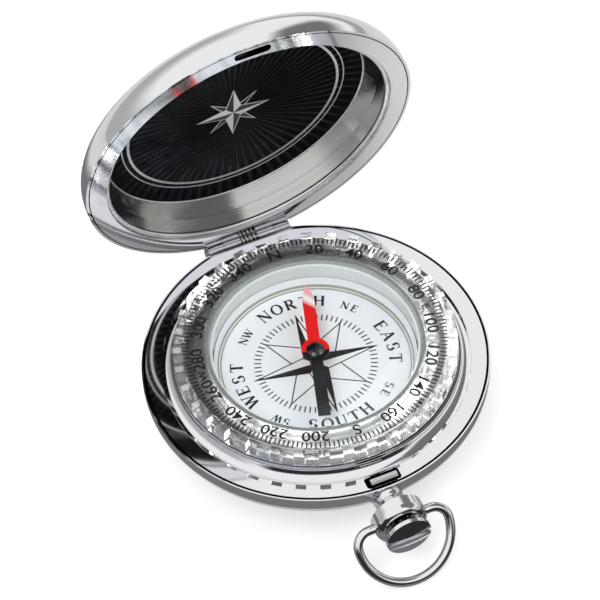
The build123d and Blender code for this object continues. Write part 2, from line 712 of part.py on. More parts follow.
with BuildPart() as liner_ring_thin:
    turned(lid_section, lid_axis, ring_outline(ring_thin_radius - ring_thin_width / 2,
           ring_thin_radius + ring_thin_width / 2, liner_low - ring_height, liner_low))
liner_ring_thin.part.label = "liner_ring_thin"
export_step(liner_ring_thin.part, "parts/liner_ring_thin.step")

with BuildPart() as lid_star:
    star_outline = []
    for point in range(star_points):
        tip_radius = star_short_radius if point % 2 else star_long_radius
        tip_angle = 2 * pi * point / star_points
        waist_angle = tip_angle + pi / star_points
        star_outline.append((tip_radius * sin(tip_angle), tip_radius * cos(tip_angle)))
        star_outline.append((star_waist_radius * sin(waist_angle), star_waist_radius * cos(waist_angle)))
    with BuildSketch(lid_level(liner_low - star_thickness)) as star_face:
        with BuildLine():
            Polyline(*star_outline, close=True)
        make_face()
    extrude(star_face.sketch, amount=star_thickness)
lid_star.part.label = "lid_star"
export_step(lid_star.part, "parts/lid_star.step")

with BuildPart() as lid_hinge_leaf:
    leaf_low = lid_low - hinge_height
    leaf_top = leaf_low + notch_height
    knuckle_length = lid_knuckle_end - spring_zone
    for knuckle_start in (spring_zone, -lid_knuckle_end):
        rod(hinge_plane(knuckle_start), barrel_radius, knuckle_length)
        block(lid_side_plane(knuckle_start), -notch_front, 0, leaf_low, leaf_top, knuckle_length)
    block(lid_side_plane(-spring_zone), -notch_front, 0, barrel_radius + swing_clear, leaf_top,
          2 * spring_zone)
    rod(hinge_plane(-lid_knuckle_end), pin_radius + running_clear, 2 * lid_knuckle_end, mode=Mode.SUBTRACT)
lid_hinge_leaf.part.label = "lid_hinge_leaf"
export_step(lid_hinge_leaf.part, "parts/lid_hinge_leaf.step")

# Pendant: grooved neck with a shank in the boss, and the round block that carries the bow
stem_bore = stem_radius + running_clear
with BuildPart() as pendant_neck:
    turned(pendant_section, pendant_axis, ring_outline(boss_reach, block_start, stem_bore, neck_radius))
    turned(pendant_section, pendant_axis, ring_outline(boss_reach - neck_shank_length, boss_reach, stem_bore,
           neck_shank_radius))
    for groove in range(neck_groove_count):
        groove_start = block_start - 2 * neck_groove * (groove + 1)
        turned(pendant_section, pendant_axis, ring_outline(groove_start, groove_start + neck_groove,
               neck_radius - neck_groove, neck_radius + overrun), mode=Mode.SUBTRACT)
pendant_neck.part.label = "pendant_neck"
export_step(pendant_neck.part, "parts/pendant_neck.step")

with BuildPart() as bow_block:
    drum_start = block_start + block_bevel
    drum_end = drum_start + block_drum
    spring_seat = block_end - spring_bore_depth
    with BuildSketch(pendant_section) as block_profile:
        with BuildLine():
            Polyline((block_end, block_front_radius), (block_end, spring_bore_radius),
                     (spring_seat, spring_bore_radius), (spring_seat, stem_bore), (block_start, stem_bore),
                     (block_start, block_back_radius), (drum_start, block_radius), (drum_end, block_radius))
            TangentArc((drum_end, block_radius), (block_end, block_front_radius), tangent=(1, 0))
        make_face()
    revolve(block_profile.sketch, axis=pendant_axis)
    for side in (across, -across):
        bore_end = Vector(0, -bow_reach, pendant_height) + side * (bow_end - running_clear)
        rod(Plane(origin=bore_end, z_dir=side), bow_wire_radius + running_clear, block_radius,
            mode=Mode.SUBTRACT)
bow_block.part.label = "bow_block"
export_step(bow_block.part, "parts/bow_block.step")

# Bow: a D of round wire with its ends in the block
with BuildPart() as bow:
    corner_x = bow_half_width - bow_corner
    with BuildLine(bow_plane) as bow_path:
        Line((bow_end, 0), (corner_x, 0))
        CenterArc((corner_x, bow_corner), bow_corner, -90, 90)
        CenterArc((0, bow_corner), bow_half_width, 0, 180)
        CenterArc((-corner_x, bow_corner), bow_corner, 180, 90)
        Line((-corner_x, 0), (-bow_end, 0))
    with BuildSketch(Plane(origin=bow_path.line @ 0, z_dir=bow_path.line % 0)) as bow_wire:
        Circle(bow_wire_radius)
    sweep(bow_wire.sketch, path=bow_path.line)
bow.part.label = "bow"
export_step(bow.part, "parts/bow.step")

# Push crown: slotted button, stem through the neck, and the hook that holds the lid
with BuildPart() as crown_button:
    side_start = button_start + button_edge
    side_end = side_start + button_side
    button_end = side_end + button_dome
    dome_radius = (button_radius**2 + button_dome**2) / (2 * button_dome)
    dome_middle = button_end - dome_radius
    dome_span = degrees(atan2(button_radius, side_end - dome_middle))
    with BuildSketch(pendant_section) as button_profile:
        with BuildLine():
            Polyline((button_end, 0), (button_start, 0), (button_start, button_radius - button_edge),
                     (side_start, button_radius), (side_end, button_radius))
            CenterArc((dome_middle, 0), dome_radius, 0, dome_span)
        make_face()
    revolve(button_profile.sketch, axis=pendant_axis)
    block(pendant_plane(button_end - button_slot_depth), -button_radius, button_radius,
          -button_slot_width / 2, button_slot_width / 2, button_slot_depth + overrun, mode=Mode.SUBTRACT)
crown_button.part.label = "crown_button"
export_step(crown_button.part, "parts/crown_button.step")

with BuildPart() as crown_stem:
    rod(pendant_plane(catch_foot_reach), stem_radius, button_start - catch_foot_reach)
crown_stem.part.label = "crown_stem"
export_step(crown_stem.part, "parts/crown_stem.step")

with BuildPart() as latch_catch:
    foot_near = catch_foot_reach - catch_thickness
    hook_near = catch_reach - catch_thickness
    hook_far = catch_reach + catch_nose
    hook_top = hook_low + catch_nose_thickness
    with BuildSketch(catch_plane(catch_half_width)) as hook_outline:
        with BuildLine():
            Polyline((foot_near, bridge_low), (catch_reach, bridge_low), (catch_reach, hook_low),
                     (hook_far, hook_low), (hook_far, (hook_low + hook_top) / 2), (catch_reach, hook_top),
                     (hook_near, hook_top), (hook_near, bridge_top), (foot_near, bridge_top), close=True)
        make_face()
    extrude(hook_outline.sketch, amount=2 * catch_half_width)
    block(catch_plane(catch_foot_half_width), foot_near, catch_foot_reach, pendant_height - catch_foot_drop,
          bridge_top, 2 * catch_foot_half_width)
latch_catch.part.label = "latch_catch"
export_step(latch_catch.part, "parts/latch_catch.step")

# Return coil of the crown, between the block and the back of the button
crown_coil_length = button_start - spring_seat - 2 * crown_wire_radius - 2 * seat_clear
crown_coil_pitch = crown_coil_length / crown_coil_turns
crown_coil_frame = pendant_plane(spring_seat + crown_wire_radius + seat_clear)
with BuildPart() as crown_spring:
    coil(crown_coil_frame, crown_coil_radius, crown_coil_pitch, crown_coil_turns, crown_wire_radius)
crown_spring.part.label = "crown_spring"
export_step(crown_spring.part, "parts/crown_spring.step")

hinge_gap = coil_gap(hinge_coil_frame, hinge_coil_radius, hinge_coil_pitch, hinge_coil_turns,
                     hinge_wire_radius)
crown_gap = coil_gap(crown_coil_frame, crown_coil_radius, crown_coil_pitch, crown_coil_turns,
                     crown_wire_radius)
print("gap between turns, hinge coil:", round(hinge_gap, 3), "crown coil:", round(crown_gap, 3))
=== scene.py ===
"""Looks of an open pocket compass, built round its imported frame. Metres, +Z up, +Y to the hinge."""

import json
from functools import cache
from math import atan2, cos, pi, radians, sin

import bmesh
import bpy
import numpy as np
from bpy.props import FloatProperty, FloatVectorProperty, IntProperty, PointerProperty
from mathutils import Matrix, Vector


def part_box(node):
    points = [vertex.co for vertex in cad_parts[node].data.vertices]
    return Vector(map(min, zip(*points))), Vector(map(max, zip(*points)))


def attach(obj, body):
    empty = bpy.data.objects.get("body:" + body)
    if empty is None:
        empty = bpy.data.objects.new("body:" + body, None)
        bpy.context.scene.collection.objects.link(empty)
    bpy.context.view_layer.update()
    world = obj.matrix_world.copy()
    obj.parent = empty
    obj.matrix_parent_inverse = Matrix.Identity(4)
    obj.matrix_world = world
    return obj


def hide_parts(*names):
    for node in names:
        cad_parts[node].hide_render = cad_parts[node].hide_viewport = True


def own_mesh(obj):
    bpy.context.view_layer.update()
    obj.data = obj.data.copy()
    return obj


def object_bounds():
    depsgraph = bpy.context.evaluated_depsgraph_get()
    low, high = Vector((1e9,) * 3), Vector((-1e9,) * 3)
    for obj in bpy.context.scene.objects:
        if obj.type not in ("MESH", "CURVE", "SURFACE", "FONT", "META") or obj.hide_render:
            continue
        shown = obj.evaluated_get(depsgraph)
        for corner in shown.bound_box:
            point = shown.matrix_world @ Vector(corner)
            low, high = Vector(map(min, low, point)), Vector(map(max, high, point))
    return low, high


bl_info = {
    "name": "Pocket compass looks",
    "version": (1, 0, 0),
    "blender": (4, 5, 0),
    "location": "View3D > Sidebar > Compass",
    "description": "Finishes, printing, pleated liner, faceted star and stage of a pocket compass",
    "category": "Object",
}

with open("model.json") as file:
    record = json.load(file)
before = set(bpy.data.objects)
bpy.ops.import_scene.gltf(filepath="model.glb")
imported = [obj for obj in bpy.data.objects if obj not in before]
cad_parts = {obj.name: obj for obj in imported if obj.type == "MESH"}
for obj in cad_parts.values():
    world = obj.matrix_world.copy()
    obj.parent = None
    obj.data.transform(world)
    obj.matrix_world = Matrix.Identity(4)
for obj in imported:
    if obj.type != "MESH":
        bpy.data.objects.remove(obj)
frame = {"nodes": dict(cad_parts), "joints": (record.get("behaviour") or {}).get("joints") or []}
cad_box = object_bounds()
joints = {joint["name"]: joint for joint in frame["joints"]}

MM = 0.001
WELD = 1e-8                        # points closer than this are one point
LIFT = 0.004 * MM                  # ink above the face that it is printed on
NEAR = 0.04 * MM                   # what is this near to a face counts as on it
HINGE = np.array(joints["lid_hinge"]["pos_m"])
OPEN_ANGLE = radians(-joints["lid_hinge"]["range_deg"][0])


def node_points(node):
    """The points of a CAD node's mesh as an array."""
    vertices = frame["nodes"][node].data.vertices
    flat = np.empty(3 * len(vertices), np.float32)
    vertices.foreach_get("co", flat)
    return flat.reshape(-1, 3).astype(float)


def about_hinge(points, angle):
    """Points turned about the hinge line. A positive angle opens the lid."""
    y, z = points[..., 1] - HINGE[1], points[..., 2] - HINGE[2]
    c, s = cos(angle), sin(angle)
    return np.stack([points[..., 0], HINGE[1] + y * c + z * s, HINGE[2] - y * s + z * c], -1)


def open_lid(points):
    """Turn points of the shut lid to where the open lid is."""
    return about_hinge(points, OPEN_ANGLE)


def shut_points(node):
    """The points of a lid node when the lid is shut."""
    return about_hinge(node_points(node), -OPEN_ANGLE)


def from_axis(points):
    """Distance of points from the Z axis."""
    return np.linalg.norm(points[:, :2], axis=1)


DIAL_FACE, RING_FACE, COLLAR_FACE, RIM_FACE = (
    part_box(node)[1].z for node in ("dial_plate", "bezel_ring", "well_ring", "case_rim"))
HOOK_LOW, HOOK_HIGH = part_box("latch_catch")
COLLAR_BORE = from_axis(node_points("well_ring")).min()
BLADE_REACH = from_axis(node_points("needle_blade")).max()
rim_points = node_points("case_rim")
RIM_RADIUS = from_axis(rim_points).min()
RIM_EDGE = from_axis(rim_points[rim_points[:, 2] > RIM_FACE - LIFT]).max()
LID_RIM_EDGE = from_axis(shut_points("lid_rim")).max()
WALL_RIM = shut_points("lid_inner_wall")[:, 2].min()
STAR_FACE = shut_points("lid_star")[:, 2].min()
LINER_FACE = shut_points("liner_ring_wide")[:, 2].max()
LINER_EDGE = shut_points("lid_liner")[:, 2].min()
LINER_RADIUS, _, LINER_BACK = shut_points("lid_liner").max(0)


# Values that a user can change

def colour(name, description, value):
    """A colour."""
    return FloatVectorProperty(name=name, description=description, subtype="COLOR", size=3,
                               default=value, min=0.0, max=1.0)


def length(name, description, millimetres):
    """A length, given in millimetres and kept in metres."""
    return FloatProperty(name=name, description=description, subtype="DISTANCE", unit="LENGTH",
                         default=millimetres * MM, precision=5)


def share(name, description, value, most=1.0):
    """A share, from 0 to the most that it may be."""
    return FloatProperty(name=name, description=description, subtype="FACTOR", default=value,
                         min=0.0, max=most)


def turn(name, description, degrees):
    """An angle, given in degrees and kept in radians."""
    return FloatProperty(name=name, description=description, subtype="ANGLE", unit="ROTATION",
                         default=radians(degrees))


def count(name, description, value):
    """A whole number."""
    return IntProperty(name=name, description=description, default=value, min=1)


class CompassFinish(bpy.types.PropertyGroup):
    """Colours of the compass and how polished its metal is."""

    chrome: colour("Chrome", "Polished metal of the case, lid and bow", (0.80, 0.81, 0.83))
    chrome_roughness: share("Chrome roughness", "Blur of the polished metal", 0.035)
    steel: colour("Steel", "Satin springs, pin and hook", (0.62, 0.62, 0.63))
    # painted shade: a dark band painted on the collar's top face, under the turning ring
    shade: colour("Shade", "Dark band of the collar under the turning ring", (0.13, 0.13, 0.135))
    # black of the rims' joint lines, and painted shade in the latch's window and on the hook below the rim's
    # face
    blacked: colour("Blacked", "Metal inside the latch's window and the joint lines", (0.006, 0.006, 0.007))
    # painted shade: the hinge's chrome is darker than the case's chrome
    hinge: colour("Hinge", "Worn metal of the hinge's knuckles", (0.5, 0.51, 0.53))
    brushed: colour("Brushed wall", "Brushed band inside the lid", (0.56, 0.555, 0.54))
    liner: colour("Liner", "Black lacquer inside the lid", (0.004, 0.0045, 0.006))
    # painted sheen: the paler colour on one side of each fold of the liner
    fold: colour("Fold", "Lit sides of the liner's folds", (0.055, 0.062, 0.078))
    silver: colour("Silver trim", "Rings and star on the liner", (0.78, 0.79, 0.80))
    dial: colour("Dial", "White of the dial", (0.87, 0.89, 0.93))
    ink: colour("Ink", "Printing on the dial and the ring", (0.008, 0.008, 0.009))
    dial_line: colour("Dial line", "Grey lines round the edge of the dial", (0.38, 0.38, 0.33))
    red: colour("Needle red", "North half of the needle", (0.78, 0.012, 0.012))
    black: colour("Needle black", "South half of the needle and its cap", (0.006, 0.006, 0.007))
    clear: colour("Clear plastic", "Turning ring, crystal and its retainer", (0.98, 0.99, 0.985))
    milky: colour("Milky plastic", "Cup of the capsule", (0.88, 0.90, 0.91))
    # painted highlight: a pale, slanted glare across the north half of the needle
    tip: colour("Needle tip", "Pale band near the north end", (0.93, 0.86, 0.85))
    jewel: colour("Jewel", "Bearing stone of the needle", (0.45, 0.02, 0.05))


class CompassPrint(bpy.types.PropertyGroup):
    """Sizes of the printing on the dial and the turning ring."""

    ink_thickness: length("Ink thickness", "How far the ink stands on its face", 0.012)
    dial_turn: turn("Dial turn", "Dial north, clockwise from the hinge", 4.3)
    tick_count: count("Dial ticks", "Ticks round the rose", 72)
    tick_inner: length("Tick inside", "Inner ends of the dial ticks", 10.3)
    tick_outer: length("Tick outside", "Outer ends of the dial ticks", 11.65)
    tick_width: length("Tick width", "Width of a dial tick", 0.25)
    rose_long: length("Long point", "Reach of the four main points", 12.17)
    rose_short: length("Short point", "Reach of the four diagonal points", 10.57)
    rose_waist: length("Waist", "Inner corners of the rose", 2.7)
    rose_short_waist: length("Short waist", "Feet of the diagonal points", 5.0)
    rose_line: length("Rose line", "Width of the outlines of the rose", 0.23)
    word_base: length("Word base", "Foot of the large words that are read from the axis", 13.75)
    inward_base: length("Inward base", "Foot of the word that is read from the pendant", 15.6)
    word_height: length("Word height", "Height of the large capitals", 2.45)
    word_step: turn("Word step", "Angle from one large capital to the next", 10.7)
    pair_base: length("Pair base", "Foot of the small letter pairs", 13.95)
    pair_height: length("Pair height", "Height of the small capitals", 1.65)
    pair_step: turn("Pair step", "Angle between the two letters of a pair", 7.6)
    edge_line: length("Edge line", "Width of the grey lines on the ring round the dial", 0.28)
    ring_turn: turn("Ring turn", "Ring north, clockwise from the hinge", 3.2)
    digit_base: length("Digit base", "Foot of the numbers on the ring", 21.06)
    digit_height: length("Digit height", "Height of the numbers on the ring", 2.25)
    digit_weight: length("Digit weight", "How far the numbers are thickened all round", 0.045)
    digit_stretch: share("Digit stretch", "Width of the numbers", 1.14, most=2.0)
    digit_step: count("Digit step", "Degrees from one number to the next", 20)
    letter_share: share("Letter size", "Size of the letters that stand between two numbers", 0.64)
    scale_ticks: count("Scale ticks", "Ticks round the ring", 180)
    scale_inner: length("Scale inside", "Inner ends of the ring's ticks", 23.45)
    scale_outer: length("Scale outside", "Outer ends of the ring's ticks", 24.7)
    scale_long: length("Long tick", "Outer ends of the longer ticks", 24.95)
    scale_every: count("Long tick step", "Ticks from one longer tick to the next", 5)
    scale_width: length("Scale width", "Width of a tick on the ring", 0.27)


class CompassLid(bpy.types.PropertyGroup):
    """Sizes of the detail inside the lid."""

    pleats: count("Pleats", "Folds of the sunburst", 72)
    pleat_slope: share("Pleat slope", "Depth of a fold as a share of half its width", 0.3)
    pleat_start: length("Pleat start", "Where the folds begin, from the middle", 1.2)
    flat_radius: length("Flat radius", "Edge of the flat middle of the liner", 23.0)
    edge_radius: length("Edge radius", "Edge of the liner at the brushed wall", 26.1)
    bead: length("Liner bead", "Radius of the bright bead at the liner's edge", 0.24)
    lip: length("Lip", "Radius of the bright lip at the lid's rim", 0.5)
    lip_radius: length("Lip place", "Distance of the lip from the lid's axis", 28.15)
    star_line: length("Star line", "Width of the silver outline of the star", 0.16)
    star_waist: length("Star waist", "Inner corners between the main points of the star", 2.2)
    star_stand: share("Star stand", "Where the diagonal points stand on a main point's flank", 0.86)
    star_edge: length("Star edge", "Height of the star's outline above the liner", 0.05)


class CompassStage(bpy.types.PropertyGroup):
    """Camera, lamps and floor."""

    camera_azimuth: turn("Azimuth", "Camera to the right of the pendant", -20.92)
    camera_elevation: turn("Elevation", "Camera above the horizon", 51.25)
    camera_roll: turn("Roll", "Camera turned about its line of sight", -3.27)
    camera_distance: length("Distance", "Camera from the point it looks at", 660.74)
    camera_target: FloatVectorProperty(name="Target", description="Point that the camera looks at",
                                       subtype="XYZ", unit="LENGTH", size=3,
                                       default=(2.48 * MM, 13.03 * MM, 10.48 * MM))
    camera_lens: FloatProperty(name="Lens", description="Focal length for a 36 mm sensor",
                               subtype="DISTANCE_CAMERA", default=209.39)
    ambient: share("Ambient", "Level of the soft light from all round", 0.5)
    floor_white: share("Floor white", "Colour of the floor, and its own light where it is seen", 0.55)
    floor_gloss: share("Floor gloss", "The floor's own light where metal mirrors it", 0.1)
    floor_gap: length("Floor gap", "Floor below the lowest point", 0.1)
    floor_size: length("Floor size", "Half the width of the floor", 3000.0)


# Meshes

def round_angles(number):
    """Angles evenly round a circle."""
    return 2 * pi * np.arange(number) / number


def grid_faces(rows, columns, wrap_rows=False, wrap_columns=False):
    """Quads of a grid of points numbered row by row, joined round where it wraps."""
    i = np.arange(rows if wrap_rows else rows - 1)[:, None]
    j = np.arange(columns if wrap_columns else columns - 1)[None, :]
    i_next, j_next = (i + 1) % rows, (j + 1) % columns
    corners = [i * columns + j, i_next * columns + j, i_next * columns + j_next, i * columns + j_next]
    return np.stack([np.broadcast_to(c, (i.size, j.size)) for c in corners], -1).reshape(-1, 4)


def joined(meshes):
    """Several (points, faces) pairs as one pair, with the faces renumbered."""
    starts = np.cumsum([0] + [len(points) for points, part in meshes[:-1]])
    faces = []
    for start, (points, part) in zip(starts.tolist(), meshes):
        if isinstance(part, np.ndarray):
            faces += (part + start).tolist()
        else:
            faces += [[corner + start for corner in face] for face in part]
    return np.concatenate([points for points, part in meshes]), faces


def mesh_of(name, points, faces, finish):
    """A mesh of points and faces in one finish."""
    mesh = bpy.data.meshes.new(name)
    mesh.from_pydata(points.tolist(), [], faces if isinstance(faces, list) else faces.tolist())
    mesh.materials.append(finish.material)
    return mesh


def placed(name, data):
    """A new object of the scene that holds a mesh, a lamp or a camera."""
    made = bpy.data.objects.new(name, data)
    bpy.context.scene.collection.objects.link(made)
    return made


def piece(name, body, points, faces, finish, sharp=30.0):
    """A mesh object, welded and facing outwards, that rides on a body.

    Edges that turn by more than the sharp angle, in degrees, stay crisp.
    """
    mesh = mesh_of(name, points, faces, finish)
    shape = bmesh.new()
    shape.from_mesh(mesh)
    bmesh.ops.remove_doubles(shape, verts=shape.verts, dist=WELD)
    bmesh.ops.recalc_face_normals(shape, faces=shape.faces)
    shape.to_mesh(mesh)
    shape.free()
    mesh.shade_smooth()
    mesh.set_sharp_from_angle(angle=radians(sharp))
    made = placed(name, mesh)
    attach(made, body)
    return made


def remade(name, node, body, finish):
    """A welded copy of a CAD node that stands for it, with normals worked out from its own faces."""
    mesh = frame["nodes"][node].data
    corners = np.empty(len(mesh.loops), np.int32)
    mesh.loops.foreach_get("vertex_index", corners)
    made = piece(name, body, node_points(node), corners.reshape(-1, 3), finish)
    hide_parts(node)
    return made


def bead(radius, height, size, columns=240, sides=14):
    """A ring of round section: a circle of the given size carried round the Z axis."""
    angle, section = round_angles(columns), round_angles(sides)[:, None]
    out = radius + size * np.cos(section)
    points = np.stack(np.broadcast_arrays(out * np.cos(angle), out * np.sin(angle),
                                          height + size * np.sin(section)), -1)
    return points.reshape(-1, 3), grid_faces(sides, columns, wrap_rows=True, wrap_columns=True)


def strip(path, width, low, high):
    """A flat bar of ink: a rectangle from low to high carried along a path in the plane.

    The left and right edges stand half the width from the path, square to it.
    """
    path = np.asarray(path, float)
    width = np.broadcast_to(np.asarray(width, float), len(path))[:, None]
    heading = np.gradient(path, axis=0)
    heading = heading / np.linalg.norm(heading, axis=1, keepdims=True)
    side = np.stack([-heading[:, 1], heading[:, 0]], -1) * width / 2
    corners = [(path + side, low), (path - side, low), (path - side, high), (path + side, high)]
    points = np.stack([np.column_stack([edge, np.full(len(path), z)]) for edge, z in corners], 1)
    last = 4 * (len(path) - 1)
    ends = [[0, 1, 2, 3], [last + 3, last + 2, last + 1, last]]
    return points.reshape(-1, 3), np.concatenate([grid_faces(len(path), 4, wrap_columns=True), ends])


def spokes(number, inner, outer, width, low, high):
    """Bars that point to the axis, evenly round it. inner and outer are numbers or one value a bar."""
    angle = round_angles(number)
    out = np.stack([np.sin(angle), np.cos(angle)], -1)[:, None, :]
    across = np.stack([np.cos(angle), -np.sin(angle)], -1)[:, None, :]
    ends = np.stack([np.broadcast_to(inner, number), np.broadcast_to(outer, number)], -1)
    sides = np.array([-0.5, 0.5, 0.5, -0.5])[None, :, None] * width
    flat = out * ends[:, [0, 0, 1, 1], None] + across * sides
    rings = [np.concatenate([flat, np.full((number, 4, 1), z)], -1) for z in (low, high)]
    box = np.array([[0, 1, 2, 3], [7, 6, 5, 4], [0, 4, 5, 1], [1, 5, 6, 2], [2, 6, 7, 3], [3, 7, 4, 0]])
    faces = box[None] + 8 * np.arange(number)[:, None, None]
    return np.concatenate(rings, 1).reshape(-1, 3), faces.reshape(-1, 4)


def plate(outline, low, high):
    """A flat plate with a straight-sided outline, from low to high."""
    number = len(outline)
    points = np.concatenate([np.column_stack([outline, np.full(number, z)]) for z in (low, high)])
    walls = grid_faces(2, number, wrap_columns=True).tolist()
    return points, walls + [list(range(number)), list(range(2 * number - 1, number - 1, -1))]


def turned_by(points, clockwise):
    """Points turned about the Z axis, clockwise seen from above."""
    c, s = cos(clockwise), sin(clockwise)
    return points @ np.array([[c, -s, 0.0], [s, c, 0.0], [0.0, 0.0, 1.0]])


# Letters: serif capitals drawn with a broad pen, in shares of the capital height

CAPITAL_SHARE = 0.73               # height of a capital or number in the built-in font
THICK, THIN, SERIF = 0.21, 0.09, 0.06
SERIF_REACH = 0.13
TOP = 1 - THIN / 2                 # middle of a thin stroke along the top


def bar(x0, y0, x1, y1, pen):
    """A straight stroke: its path and its width at each point."""
    return np.array([[x0, y0], [x1, y1]]), np.array([pen, pen])


def stem(x):
    """A thick upright stroke."""
    return bar(x, 0, x, 1, THICK)


def foot(x, y):
    """A short flat stroke across the end of a stem."""
    level = y + SERIF / 2 if y < 0.5 else y - SERIF / 2
    return bar(x - SERIF_REACH, level, x + SERIF_REACH, level, SERIF)


def arc(x, y, reach_x, reach_y, start, end, pens, steps=20):
    """An arc of an ellipse, in degrees, whose pen width runs evenly through the given widths."""
    angle = np.radians(np.linspace(start, end, steps))
    path = np.stack([x + reach_x * np.cos(angle), y + reach_y * np.sin(angle)], -1)
    return path, np.interp(np.linspace(0, 1, steps), np.linspace(0, 1, len(pens)), pens)


CAPITALS = {                       # the width of each letter and its strokes
    "N": (0.96, [bar(0.15, 0, 0.15, 0.98, THIN), bar(0.80, 0.02, 0.80, 1, THIN),
                 bar(0.13, 0.96, 0.80, 0.04, THICK), foot(0.15, 0), foot(0.80, 1), foot(0.10, 1)]),
    "O": (0.98, [arc(0.49, 0.5, 0.38, 0.47, 90, 450, [THIN, THICK, THIN, THICK, THIN], 41)]),
    "R": (0.94, [stem(0.22), foot(0.22, 0), foot(0.16, 1),
                 bar(0.2, TOP, 0.45, TOP, THIN), bar(0.2, 0.5, 0.45, 0.5, THIN),
                 arc(0.45, 0.735, 0.22, 0.235, 90, -90, [THIN, THICK, THIN]),
                 bar(0.44, 0.5, 0.80, 0.02, THICK), bar(0.72, SERIF / 2, 0.94, SERIF / 2, SERIF)]),
    "T": (0.88, [stem(0.44), foot(0.44, 0), bar(0.06, TOP, 0.82, TOP, THIN),
                 bar(0.07, 1, 0.04, 0.76, SERIF), bar(0.81, 1, 0.84, 0.76, SERIF)]),
    "H": (1.02, [stem(0.22), stem(0.80), bar(0.22, 0.52, 0.80, 0.52, THIN)]
          + [foot(x, y) for x in (0.22, 0.80) for y in (0, 1)]),
    "E": (0.84, [stem(0.22), foot(0.2, 0), foot(0.2, 1),
                 bar(0.2, TOP, 0.70, TOP, THIN), bar(0.2, 0.53, 0.56, 0.53, THIN),
                 bar(0.2, THIN / 2, 0.74, THIN / 2, THIN), bar(0.70, 1, 0.72, 0.76, SERIF),
                 bar(0.56, 0.42, 0.56, 0.64, SERIF), bar(0.74, 0, 0.77, 0.25, SERIF)]),
    "A": (0.98, [bar(0.14, 0, 0.48, 1, THIN), bar(0.46, 1, 0.82, 0, THICK),
                 bar(0.24, 0.34, 0.70, 0.34, THIN), foot(0.14, 0), foot(0.83, 0)]),
    "S": (0.74, [arc(0.37, 0.745, 0.23, 0.225, 35, 250, [THIN, THIN, THICK, THICK]),
                 arc(0.37, 0.265, 0.26, 0.235, 70, -145, [THICK, THICK, THIN, THIN]),
                 bar(0.59, 0.97, 0.58, 0.72, SERIF), bar(0.13, 0.03, 0.13, 0.3, SERIF)]),
    "U": (0.98, [bar(0.22, 1, 0.22, 0.32, THICK), bar(0.78, 1, 0.78, 0.32, THIN),
                 arc(0.5, 0.32, 0.28, 0.295, 180, 360, [THICK, THICK, THIN]),
                 foot(0.22, 1), foot(0.78, 1)]),
    "W": (1.34, [bar(0.14, 0.98, 0.42, 0.0, THICK), bar(0.42, 0.02, 0.66, 0.98, THIN),
                 bar(0.60, 0.98, 0.90, 0.0, THICK), bar(0.90, 0.02, 1.18, 0.98, THIN),
                 foot(0.14, 1), foot(0.64, 1), foot(1.19, 1)]),
}


def round_axis(flat, height, clockwise, base, inward=False):
    """Put flat letter points round the axis: x runs along the circle, y away from the axis.

    With inward set, the letter is turned to stand with its head to the axis.
    """
    flip = -1.0 if inward else 1.0
    out = np.array([sin(clockwise), cos(clockwise)])
    along = np.array([cos(clockwise), -sin(clockwise)])
    place = out * base + flip * (flat[:, :1] * along + flat[:, 1:2] * out)
    return np.column_stack([place, height])


def word(text, clockwise, step, base, size, low, high, inward=False):
    """A word in serif capitals round the axis, centred on a direction, one letter every step."""
    meshes = []
    for place, letter in enumerate(text):
        wide, strokes = CAPITALS[letter]
        offset = (place - (len(text) - 1) / 2) * step
        angle = clockwise - offset if inward else clockwise + offset
        for path, pens in strokes:
            points, faces = strip((path - [wide / 2, 0]) * size, pens * size, low, high)
            meshes.append((round_axis(points[:, :2], points[:, 2], angle, base, inward), faces))
    return meshes


def printed_text(text, size, thickness, weight):
    """Points and triangles of plain text from the built-in font, centred, with its foot at y 0.

    The outlines are pushed out all round by the weight.
    """
    curve = bpy.data.curves.new("text", "FONT")
    curve.body = text
    curve.align_x = "CENTER"
    curve.size = size
    curve.extrude = thickness / 2
    curve.offset = weight
    curve.resolution_u = 4
    holder = bpy.data.objects.new("text", curve)
    mesh = bpy.data.meshes.new_from_object(holder)
    mesh.calc_loop_triangles()
    points = np.empty(3 * len(mesh.vertices))
    mesh.vertices.foreach_get("co", points)
    triangles = np.empty(3 * len(mesh.loop_triangles), np.int32)
    mesh.loop_triangles.foreach_get("vertices", triangles)
    bpy.data.objects.remove(holder)
    bpy.data.meshes.remove(mesh)
    bpy.data.curves.remove(curve)
    return points.reshape(-1, 3), triangles.reshape(-1, 3)


# Node trees

